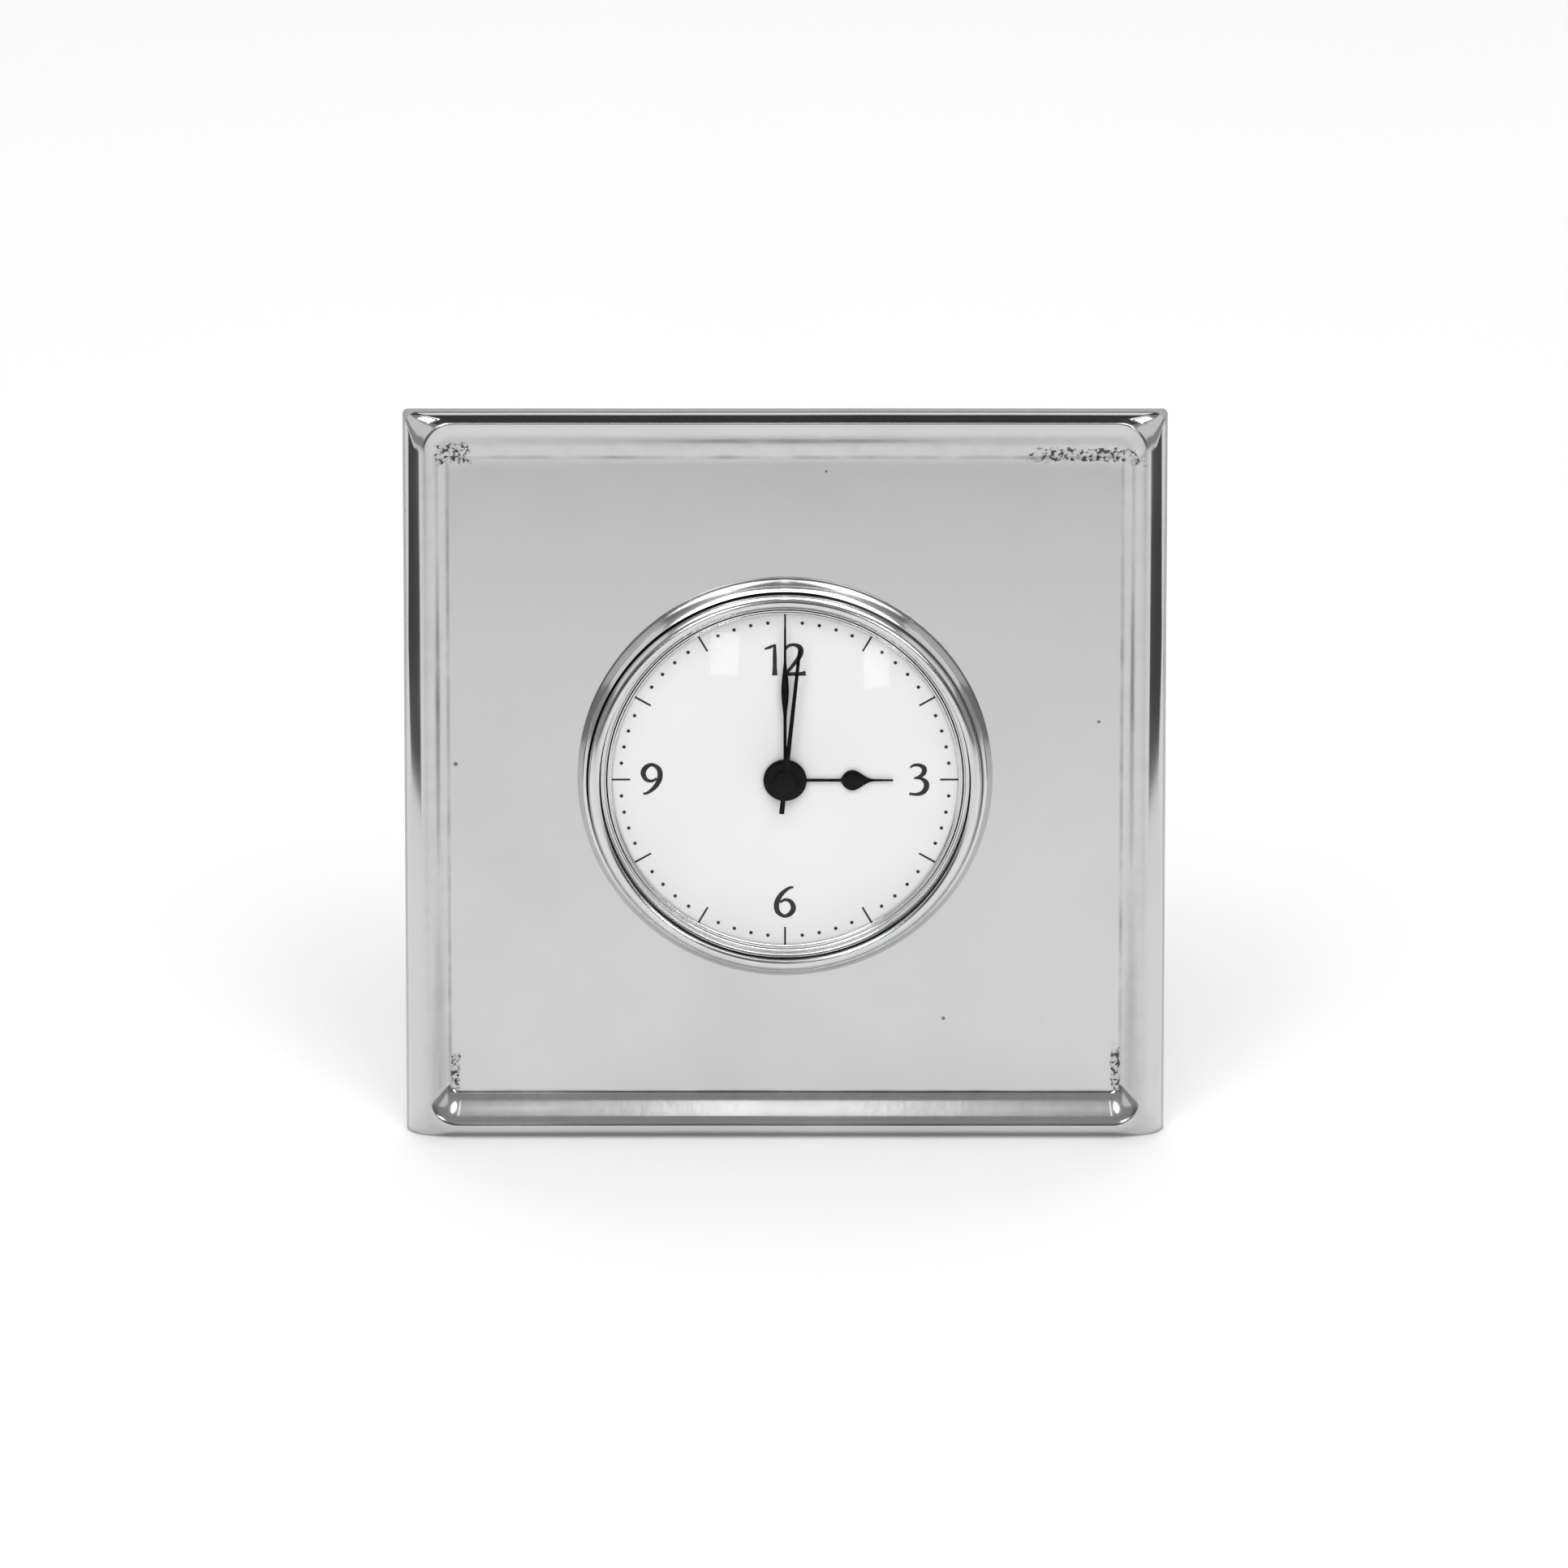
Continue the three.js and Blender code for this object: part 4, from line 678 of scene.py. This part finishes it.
# Each stroke is a list of (x, y, half width) knots on a digit one unit tall.
DIGIT_STROKES = {
    "1": [[(0.30, 0.985, 0.030), (0.30, 0.6, 0.046), (0.30, 0.3, 0.046), (0.30, 0.0, 0.062)],
          [(0.31, 0.985, 0.010), (0.20, 0.905, 0.034), (0.04, 0.83, 0.020)]],
    "2": [[(0.07, 0.80, 0.018), (0.13, 0.92, 0.034), (0.27, 0.972, 0.036), (0.42, 0.90, 0.056),
           (0.46, 0.74, 0.060), (0.40, 0.55, 0.052), (0.24, 0.29, 0.040), (0.08, 0.05, 0.030)],
          [(0.02, 0.045, 0.044), (0.25, 0.045, 0.042), (0.45, 0.05, 0.044), (0.58, 0.075, 0.058)]],
    "3": [[(0.08, 0.88, 0.018), (0.18, 0.955, 0.032), (0.32, 0.955, 0.040), (0.43, 0.86, 0.056),
           (0.42, 0.70, 0.054), (0.30, 0.58, 0.036), (0.18, 0.54, 0.020)],
          [(0.20, 0.545, 0.018), (0.36, 0.53, 0.036), (0.48, 0.41, 0.058), (0.49, 0.25, 0.062),
           (0.40, 0.09, 0.052), (0.24, 0.03, 0.036), (0.06, 0.05, 0.030)]],
    "6": [[(0.52, 0.955, 0.024), (0.38, 0.90, 0.036), (0.20, 0.70, 0.052), (0.10, 0.44, 0.060),
           (0.12, 0.18, 0.056), (0.28, 0.03, 0.040), (0.44, 0.10, 0.054), (0.52, 0.28, 0.060),
           (0.46, 0.48, 0.048), (0.32, 0.55, 0.034), (0.18, 0.47, 0.028)]],
}
DIGIT_STROKES["9"] = [[(0.6 - x, 1.0 - y, h) for x, y, h in s] for s in DIGIT_STROKES["6"]]
DIGIT_WIDTH = {"1": 0.50, "2": 0.62, "3": 0.58, "6": 0.62, "9": 0.62}
DIGIT_BREADTH, DIGIT_WEIGHT = 1.2, 1.35


def draw_number(sheet, text, centre, height):
    """Digits side by side, centred on a point."""
    widths = [DIGIT_WIDTH[d] * DIGIT_BREADTH * height for d in text]
    left = centre[0] - sum(widths) / 2
    for digit, width in zip(text, widths):
        for number, stroke in enumerate(DIGIT_STROKES[digit]):
            path = spline(stroke)
            foot = np.array([left, centre[1] - height / 2])
            place = path[:, :2] * height * np.array([DIGIT_BREADTH, 1]) + foot
            lift = STROKE_LIFT * number
            sheet.ribbon(place, path[:, 2] * DIGIT_WEIGHT * height, PRINT_BASE + lift, PRINT_TOP + lift)
        left += width


marks = Sheet()
LINE_INNER, LINE_OUTER, LINE_HALF = 25.8, 29.1, 0.16
DOT_RADIUS, DOT_PLACE = 0.3, 27.4
DOT_STEPS = 16
line = np.array([(-LINE_HALF, LINE_INNER), (LINE_HALF, LINE_INNER),
                 (LINE_HALF, LINE_OUTER), (-LINE_HALF, LINE_OUTER)])
dot = round_about((0, DOT_PLACE), DOT_RADIUS, full_turn(DOT_STEPS))
for minute in range(60):
    marks.slab(clock_turn(line if minute % 5 == 0 else dot, minute * 6))
NUMBER_HEIGHT = 5.5
NUMBER_PLACES = {"12": (0.0, 20.9), "3": (22.2, 0.0), "6": (0.0, -21.3), "9": (-22.1, 0.0)}
for number, place in NUMBER_PLACES.items():
    draw_number(marks, number, place, NUMBER_HEIGHT)
print_piece = mesh_piece(
    "dial_print", np.concatenate(marks.points), marks.faces, "stand", INK, smooth=False)
print("print", len(print_piece.data.polygons), "faces")

# %% [markdown]
# The hands are stamped strips, painted black: a pear on the hour hand, a slim leaf on the minute
# hand, a plain tapered needle for the seconds with a round cap over the arbor.

# %% Hands
def hand_paint():
    f = Finish("hand_paint")
    orange_peel = f.noise(f.here(), 2.5, 2.0, 0.5)
    tone = f.blend(orange_peel.ramp(0.4, 0.7), rgb(4, 4, 5), rgb(9, 9, 10))
    return f.surface(f.principled(
        Base_Color=tone, Roughness=0.12 + orange_peel * 0.1, Specular_IOR_Level=0.1,
        Normal=f.bump(orange_peel, 0.05, 0.00004)))


PAINT = hand_paint()
HUB_STEPS, CAP_STEPS = 96, 64
HAND_CROWN, SECOND_CROWN = 0.08, 0.07
SPAN_STEPS = 6


def hand_points(edge, low, high, crown):
    """A hand as a grid: rows of (along, half width), columns across it, crowned in the middle."""
    edge = np.asarray(edge, float)
    across = np.array([-1.0, -0.86, -0.5, 0.0, 0.5, 0.86, 1.0])
    lift = crown * (1 - across ** 2)
    x = edge[:, 1:2] * across
    y = np.repeat(edge[:, :1], len(across), axis=1)
    top = np.stack([x, y, high - crown + np.broadcast_to(lift, x.shape)], axis=-1)
    base = np.stack([x, y, np.full(x.shape, low)], axis=-1)[:, ::-1]
    return np.concatenate([top, base], axis=1)


def set_hand(sheet, name, degrees, body, node):
    """The shells of a hand as one mesh, turned clockwise from twelve to where it rests."""
    points = np.concatenate(sheet.points)
    points[:, :2] = clock_turn(points[:, :2], degrees)
    piece = mesh_piece(name, points, sheet.faces, body, PAINT)
    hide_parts(node)
    return piece


def hand_piece(name, edge, hub, hole, low, high, degrees, body, node):
    """A strip closed at both ends, and a round hub with its hole."""
    sheet = Sheet()
    sheet.hand(hand_points(edge, low, high, HAND_CROWN))
    sheet.add(*ring_turn(ring_profile(hole, hub, low, high, (low + high) / 2, 3, 0.3), HUB_STEPS))
    return set_hand(sheet, name, degrees, body, node)


HOUR_KNOTS = [
    (3.3, 0.25), (6.0, 0.24), (8.6, 0.24), (9.3, 0.34), (9.75, 1.0), (10.5, 1.6), (11.3, 1.77), (12.1, 1.5),
    (12.9, 0.98), (13.6, 0.56), (14.3, 0.27), (15.2, 0.19), (16.5, 0.17), (18.0, 0.15),
]
MINUTE_KNOTS = [
    (2.9, 0.27), (7.0, 0.27), (11.0, 0.28), (12.6, 0.40), (14.2, 0.57), (15.8, 0.63), (17.4, 0.56),
    (19.2, 0.38), (20.8, 0.23), (23.5, 0.20), (26.75, 0.17),
]
hour_hand = hand_piece(
    "hour_pear_hand", spline(HOUR_KNOTS, SPAN_STEPS), hub=3.6, hole=2.8, low=1.9, high=2.15, degrees=90,
    body="hour_train", node="hour_hand")
minute_hand = hand_piece(
    "minute_leaf_hand", spline(MINUTE_KNOTS, SPAN_STEPS), hub=3.2, hole=1.8, low=2.55, high=2.8, degrees=0,
    body="minute_train", node="minute_hand")
SECOND_TAIL, SECOND_TIP = (-5.5, 0.43), (23.7, 0.27)
SECOND_LOW, SECOND_HIGH, SECOND_TURN = 3.2, 3.45, 6
# The cap over the arbor, with a smaller boss on top.
CAP_CORNERS = [(0, SECOND_LOW), (1.8, SECOND_LOW), (1.8, 3.75), (1.25, 3.8), (1.15, 4.12), (0, 4.15)]
needle = Sheet()
needle_edge = np.linspace(SECOND_TAIL, SECOND_TIP, 24)
needle.hand(hand_points(needle_edge, SECOND_LOW, SECOND_HIGH, SECOND_CROWN))
needle.add(*capped_turn(rounded(CAP_CORNERS, 5, 0.35), CAP_STEPS))
second_hand = set_hand(needle, "second_needle_hand", SECOND_TURN, "seconds_train", "second_hand")
print("hands", [len(hand.data.polygons) for hand in (hour_hand, minute_hand, second_hand)], "faces")

# %% [markdown]
# Behind the face, moulded, metal and rubber parts keep their CAD shape and get a finish of
# their own. Each finish has a little variation at the scale of the real surface.

# %% Finishes for the CAD nodes
def moulded(name, low, high, rough, scale=1.2, strength=0.12):
    f = Finish(name)
    spot = f.noise(f.here(), scale, 4.0, 0.6)
    tone = f.blend(spot.ramp(0.35, 0.65), low, high)
    return f.surface(f.principled(
        Base_Color=tone, Roughness=rough + spot * 0.1, Normal=f.bump(spot, strength, 0.00008)))


def metal(name, low, high, rough, scale=1.5):
    f = Finish(name)
    x, y, z = f.face_place()
    streak = f.noise(f.vector(x * 0.3, y * 3.0, z * 3.0), scale, 4.0, 0.6)
    tone = f.blend(streak.ramp(0.35, 0.65), low, high)
    return f.surface(f.principled(
        Base_Color=tone, Metallic=1.0, Roughness=rough + streak * 0.12, Normal=f.bump(streak, 0.08, 0.00004)))


# None stands for a slot whose only node is replaced by a piece with its own finish.
NODE_FINISH = {
    "black_plastic": moulded("black_moulding", rgb(24, 25, 27), rgb(34, 35, 37), 0.45, 2.2, 0.25),
    "grip_rubber": moulded("grip_rubber", rgb(50, 51, 53), rgb(64, 65, 67), 0.8, 1.5, 0.3),
    "movement_plastic": moulded("movement_moulding", rgb(224, 221, 212), rgb(234, 232, 225), 0.4),
    "board_green": moulded("circuit_board_green", rgb(22, 84, 50), rgb(32, 102, 62), 0.5, 1.0),
    "cell_wrap": moulded("cell_wrap", rgb(136, 140, 143), rgb(150, 153, 156), 0.35, 0.6),
    "magnet": moulded("sintered_magnet", rgb(70, 71, 76), rgb(86, 87, 92), 0.5, 3.0),
    "steel": metal("bright_steel", rgb(178, 180, 183), rgb(196, 197, 199), 0.22),
    "brass": metal("bright_brass", rgb(198, 160, 84), rgb(214, 178, 100), 0.22),
    "copper_wire": metal("copper_winding", rgb(176, 100, 58), rgb(196, 118, 70), 0.32, 6.0),
    "polished_aluminium": ALUMINIUM,
    "chrome": PLATING,
    "dial_white": None,
    "hand_black": PAINT,
    "clear_acrylic": None,
}
for entry in frame["record"]["subparts"]:
    finish = NODE_FINISH[entry["material_slot"]]
    node = frame["nodes"][entry["node"]]
    if finish is not None:
        node.data.materials.clear()
        node.data.materials.append(finish)
print(len(NODE_FINISH), "finishes for", len(frame["nodes"]), "CAD nodes")

# %% [markdown]
# The leg, the insert's can and the battery door are cast or moulded, so no edge of theirs is
# sharp. A copy of the CAD shape is merged, its flat areas are joined up, and a small bevel
# eases each sharp edge.

# %% Leg, can and door
MERGE_DISTANCE = 2e-6
FLAT_ANGLE, EASED_ANGLE = math.radians(1), math.radians(40)


def eased_copy(name, node, width, body, material):
    """A CAD node's shape with its edges eased by a bevel."""
    source = frame["nodes"][node].data
    points = np.empty(len(source.vertices) * 3)
    source.vertices.foreach_get("co", points)
    faces = np.empty(len(source.loops), int)
    source.loops.foreach_get("vertex_index", faces)
    mesh = bpy.data.meshes.new(name)
    mesh.from_pydata(points.reshape(-1, 3).tolist(), [], faces.reshape(-1, 3).tolist())
    shape = bmesh.new()
    shape.from_mesh(mesh)
    bmesh.ops.remove_doubles(shape, verts=shape.verts, dist=MERGE_DISTANCE)
    bmesh.ops.dissolve_limit(shape, angle_limit=FLAT_ANGLE, verts=shape.verts, edges=shape.edges)
    shape.to_mesh(mesh)
    shape.free()
    mesh.polygons.foreach_set("use_smooth", np.full(len(mesh.polygons), True))
    mesh.materials.append(material)
    piece = new_object(name, mesh)
    ease = piece.modifiers.new("ease", "BEVEL")
    ease.width = width
    ease.segments = 3
    ease.limit_method = "ANGLE"
    ease.angle_limit = EASED_ANGLE
    ease.harden_normals = True
    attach(piece, body)
    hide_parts(node)
    return piece


BLACK = NODE_FINISH["black_plastic"]
leg = eased_copy("cast_leg", "rear_leg", 0.0007, "stand", ALUMINIUM)
can = eased_copy("moulded_can", "insert_can", 0.0003, "stand", BLACK)
door = eased_copy("moulded_door", "battery_door", 0.00025, "door", BLACK)
print("eased", [piece.name for piece in (leg, can, door)])

# %% [markdown]
# The setting knob is gripped between two fingers: its wall waves in and out fourteen times, and
# its outer end is dished. Radius and depth are given for each angle and each step of the section.

# %% Knob
KNOB_PLACE, KNOB_FLUTES, FLUTE_DEPTH = (0.0, 18.45), 14, 0.4
FLUTES_FROM, FLUTES_FADE = 4.4, 0.7
KNOB_STEPS = 168
KNOB_CORNERS = [(0, -16.9), (5.3, -16.9), (5.5, -17.3), (5.5, -19.9), (4.9, -20.5), (3.9, -20.5),
                (3.3, -20.1), (0, -20.1)]


def knob_points():
    """r = section radius - flute depth * ((1 - cos(flutes * a)) / 2) ** 2 on the wall; z is the section's."""
    section = rounded(KNOB_CORNERS, 5, 0.4)
    radius, depth = section[1:-1].T
    angle = full_turn(KNOB_STEPS)
    flute = (0.5 - 0.5 * np.cos(KNOB_FLUTES * angle)) ** 2
    on_wall = np.clip((radius - FLUTES_FROM) / FLUTES_FADE, 0, 1)
    fluted = radius[:, None] - FLUTE_DEPTH * on_wall[:, None] * flute[None]
    grid = at_height(round_about(KNOB_PLACE, fluted, angle), depth[:, None, None])
    return capped_shell(grid, KNOB_PLACE, section[0, 1], section[-1, 1])


knob_grid, knob_faces = knob_points()
knob_faces = [face[::-1] for face in knob_faces]
knob = mesh_piece("fluted_knob", knob_grid, knob_faces, "setting", BLACK)
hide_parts("setting_knob")
print("knob", len(knob.data.polygons), "faces")

# %% [markdown]
# Two pan-head screws hold the leg. A head is a height over a disc: a dome, less a slot across it.

# %% Leg screws
SCREW_BASE, SCREW_ACROSS, SCREW_UP = -9.8, 16.0, -43.0
HEAD_STEPS, DOME_ROWS, SLOT_ROWS = 96, 20, 22
DOME_INNER, DOME_RADIUS, DOME_HEIGHT, DOME_FALL = 0.12, 2.7, 1.8, 0.32
SLOT_DEPTH, SLOT_HALF, SLOT_EDGE = 0.9, 0.5, 0.12
# The edge of a head outside its dome: radius and height over the base.
HEAD_EDGE = np.array([(2.85, 1.12), (2.95, 1.0), (3.0, 0.8), (3.0, 0.4), (3.0, 0.0)])


def screw_points(centre, turn):
    """z = base - height(r), less a slot where the distance from the slot's middle line is small."""
    dome = np.linspace(DOME_INNER, DOME_RADIUS, DOME_ROWS)
    radius = np.concatenate([dome, HEAD_EDGE[:, 0]])
    dome_height = DOME_HEIGHT * (1 - DOME_FALL * (dome / DOME_RADIUS) ** 2)
    height = np.concatenate([dome_height, HEAD_EDGE[:, 1]])
    angle = full_turn(HEAD_STEPS)
    across = radius[:, None] * np.abs(np.sin(angle - turn))[None]
    slotted = (np.arange(len(radius)) < SLOT_ROWS)[:, None]
    slot = SLOT_DEPTH * np.clip((SLOT_HALF - across) / SLOT_EDGE, 0, 1) * slotted
    depth = SCREW_BASE - np.maximum(height[:, None] - slot, 0.0)
    grid = at_height(round_about(centre, radius[:, None], angle), depth[..., None])
    return capped_shell(grid, centre, SCREW_BASE - (DOME_HEIGHT - SLOT_DEPTH), SCREW_BASE)


STEEL = NODE_FINISH["steel"]
for side, across, turn in (("left", -SCREW_ACROSS, 0.5), ("right", SCREW_ACROSS, 1.9)):
    points, faces = screw_points((across, SCREW_UP), turn)
    head = mesh_piece("slotted_screw_" + side, points, faces, "stand", STEEL)
    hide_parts("leg_screw_" + side)
    print(head.name, len(head.data.polygons), "faces")

# %% [markdown]
# The moulded can ends in a raised rim, which it rests on when it lies on a bench, and a raised
# arrow shows which way the knob sets the hands forward. The arrow is a bent ribbon and a
# three-cornered slab.

# %% Arrow and rim on the can
RIM_INNER, RIM_OUTER, RIM_LOW, RIM_HIGH = 27.9, 29.2, -16.95, -16.45
RIM_STEPS = 160
rim_profile = ring_profile(RIM_INNER, RIM_OUTER, RIM_LOW, RIM_HIGH, -16.6, 3, 0.3)
rim = turned_piece("can_rim", rim_profile, RIM_STEPS, "stand", BLACK)

ARROW_RADIUS, ARROW_HALF, ARROW_LOW, ARROW_HIGH = 7.6, 0.35, -16.75, -16.45
ARROW_FROM, ARROW_TO, ARROW_STEPS = math.radians(35), math.radians(125), 28
TIP_ANGLE, BARB_ANGLE, BARB_OUT, BARB_IN = math.radians(22), 0.62, 8.7, 6.5
arrow = Sheet()
sweep = round_about(KNOB_PLACE, ARROW_RADIUS, np.linspace(ARROW_FROM, ARROW_TO, ARROW_STEPS))
arrow.ribbon(sweep, np.full(ARROW_STEPS, ARROW_HALF), ARROW_LOW, ARROW_HIGH)
head_radius = np.array([ARROW_RADIUS, BARB_OUT, BARB_IN])
head_angle = np.array([TIP_ANGLE, BARB_ANGLE, BARB_ANGLE])
arrow.slab(round_about(KNOB_PLACE, head_radius, head_angle), ARROW_LOW, ARROW_HIGH)
arrow_piece = mesh_piece(
    "setting_arrow", np.concatenate(arrow.points), arrow.faces, "stand", BLACK, smooth=False)
print("rim", len(rim.data.polygons), "faces, arrow", len(arrow_piece.data.polygons))

# %% [markdown]
# The clock stands on a plain pale table, and its polished face mostly shows that table. The
# table's colour is painted a little darker towards the viewer, as painted fall-off of the light, and
# painted dark further out for the unlit room, so the field is lightest at its foot.

# %% Table
def pale_table():
    f = Finish("pale_table")
    ahead = f.node("ShaderNodeSeparateXYZ", Vector=f.place(), out="Y") * -1.0
    # Painted fall-off of light: the table's colour darkens away from the clock towards the viewer.
    tone = f.blend(ahead.ramp(0.12, 0.5), rgb(249, 249, 249), rgb(239, 238, 239))
    # Painted shade: far ahead the table turns dark, standing in for the unlit room.
    tone = f.blend(ahead.ramp(1.25, 1.4), tone, rgb(45, 44, 44))
    return f.surface(f.principled(Base_Color=tone, Roughness=0.8))


def flat_mesh(name, corners, material):
    """One quad through four corners."""
    mesh = bpy.data.meshes.new(name)
    mesh.from_pydata(corners, [], [(0, 1, 2, 3)])
    mesh.materials.append(material)
    return mesh


def level_quad(left, right, front, back, height):
    """The corners of a level rectangle."""
    return [(left, front, height), (right, front, height), (right, back, height), (left, back, height)]


TABLE_HALF = 3
table_corners = level_quad(-TABLE_HALF, TABLE_HALF, -TABLE_HALF, TABLE_HALF, 0)
table = new_object("table", flat_mesh("table", table_corners, pale_table()))
print("table", tuple(round(side, 3) for side in table.dimensions), "m")

# %% [markdown]
# Polished metal has no colour of its own to show: a rim reads as a rim because something dark is
# mirrored in it. A photographer hangs black cards just out of the picture for this. Two lie beside
# the clock for the side lips, and one hangs behind and above it for the top lip. Two white cards at
# the sides glow by themselves, show only in reflections, and lighten the bezel.

# %% Cards
def black_paper(f):
    return f.principled(Base_Color=rgb(58, 56, 56), Roughness=0.9)


# The white cards glow by themselves: an emission of strength 1, seen only in polished surfaces.
def glowing_paper(f):
    return f.node("ShaderNodeEmission", Color=rgb(240, 240, 240), Strength=1.0)


def card(name, corners, paper):
    """A flat card of four corners that only shows in polished surfaces."""
    f = Finish(name)
    flat = new_object(name, flat_mesh(name, corners, f.surface(paper(f))))
    flat.visible_camera = flat.visible_diffuse = flat.visible_shadow = flat.visible_transmission = False
    return flat


CARD_IN, CARD_OUT, CARD_FRONT, CARD_BACK, CARD_LEVEL = 0.24, 0.7, -0.05, 0.09, 0.004
WHITE_SIDE, WHITE_FRONT, WHITE_BACK, WHITE_LOW, WHITE_HIGH = 0.8, -0.75, 0.28, 0.3, 0.85
HIGH_HALF, HIGH_FRONT, HIGH_BACK, HIGH_LEVEL = 0.7, 0.25, 1.5, 0.9
for name, side in (("left", -1), ("right", 1)):
    lying = level_quad(side * CARD_IN, side * CARD_OUT, CARD_FRONT, CARD_BACK, CARD_LEVEL)
    card(name + "_card", lying, black_paper)
    x = side * WHITE_SIDE
    upright = [(x, WHITE_FRONT, WHITE_LOW), (x, WHITE_BACK, WHITE_LOW),
               (x, WHITE_BACK, WHITE_HIGH), (x, WHITE_FRONT, WHITE_HIGH)]
    card(name + "_white_card", upright, glowing_paper)
overhead = level_quad(-HIGH_HALF, HIGH_HALF, HIGH_FRONT, HIGH_BACK, HIGH_LEVEL)
back_card = card("back_card", overhead, black_paper)
print("cards beside the clock from", CARD_IN, "to", CARD_OUT, "m, and", back_card.name)

# %% [markdown]
# The light is soft: two large boxes above, one behind, two low fills that stay out of the mirrored
# metal, a narrow strip overhead that draws the bright middle of the lower wall, and two small
# windows that show faintly on the lens. The world is a dim room, dark ahead and bright behind.

# %% Studio light
def area_lamp(name, azimuth, elevation, distance, width, height, power):
    """A soft box at an angle round the face, aimed at its middle."""
    a, e = math.radians(azimuth), math.radians(elevation)
    aim = np.array([math.sin(a) * math.cos(e), -math.cos(a) * math.cos(e), math.sin(e)])
    lamp = bpy.data.lights.new(name, "AREA")
    lamp.shape, lamp.size, lamp.size_y, lamp.energy = "RECTANGLE", width, height, power
    holder = new_object(name, lamp)
    holder.location = (CENTRE + distance * aim).tolist()
    holder.rotation_euler = Vector((-aim).tolist()).to_track_quat("-Z", "Y").to_euler()
    return holder


# Name, azimuth and elevation in degrees, distance, width and height in metres, power in watts.
LAMPS = [
    ("left_key", -40, 60, 1.5, 0.8, 0.8, 6.8),
    ("right_key", 40, 60, 1.5, 0.8, 0.8, 6.8),
    ("left_fill", -40, 14, 1.6, 0.5, 0.5, 2.2),
    ("right_fill", 40, 14, 1.6, 0.5, 0.5, 2.2),
    ("back_key", 180, 68, 1.5, 1.2, 0.6, 5.9),
    ("overhead_strip", 0, 62, 1.2, 0.04, 0.8, 0.28),
    ("left_window", -8, 10.5, 2.5, 0.16, 0.24, 1.9),
    ("right_window", 12, 8.5, 2.5, 0.14, 0.24, 1.6),
]
for lamp_row in LAMPS:
    area_lamp(*lamp_row).visible_glossy = not lamp_row[0].endswith("fill")

ROOM_DIM, ROOM_GLOW, WALL_GLOW = 0.05, 0.30, 1.1
studio = Finish("studio", "worlds", "ShaderNodeOutputWorld")
sideways = studio.node("ShaderNodeSeparateXYZ", Vector=studio.node("ShaderNodeTexCoord", out="Generated"))
across, depth, height = sideways.size(), sideways.also("Y"), sideways.also("Z")
beside = across.ramp(0.35, 0.75)
aloft = across.ramp(0.66, 0.76) * height.ramp(0.2, 0.35) * depth.ramp(-0.35, -0.2)
behind = depth.ramp(0.4, 0.8)
room = ROOM_DIM + height.ramp(0.1, 0.3).largest(beside) * (1.0 - aloft) * ROOM_GLOW
level = room + behind * (WALL_GLOW - room)
scene.world = studio.surface(studio.node("ShaderNodeBackground", Color=level))
print("lamps", sorted(lamp.name for lamp in bpy.data.lights))

# %% [markdown]
# The photo shows almost no perspective, so the camera is far away with a long lens. It looks
# down at the face.

# %% Camera
CAMERA_ELEVATION = math.radians(27.6)
CAMERA_DISTANCE = 3.0
SENSOR = 36.0
PHOTO_PIXELS, PIXELS_PER_MM = 1932, 7.4
SHIFT_ACROSS, SHIFT_UP = -1.3, -5.5

toward = np.array([0.0, -math.cos(CAMERA_ELEVATION), math.sin(CAMERA_ELEVATION)])
screen_up = np.array([0.0, math.sin(CAMERA_ELEVATION), math.cos(CAMERA_ELEVATION)])
pixel = MM / PIXELS_PER_MM
frame_width = PHOTO_PIXELS * pixel
look_at = CENTRE + DIAL_TOP * MM * FACE_Z + SHIFT_ACROSS * pixel * FACE_X + SHIFT_UP * pixel * screen_up
camera_data = bpy.data.cameras.new("camera")
camera_data.sensor_width = SENSOR
camera_data.lens = SENSOR * CAMERA_DISTANCE / frame_width
camera_data.clip_end = 50
camera = new_object("camera", camera_data)
camera.location = (look_at + CAMERA_DISTANCE * toward).tolist()
camera.rotation_euler = Vector((-toward).tolist()).to_track_quat("-Z", "Y").to_euler()
scene.camera = camera
scene.view_settings.view_transform = "Standard"
print("camera lens", round(camera_data.lens), "mm at", CAMERA_DISTANCE, "m")
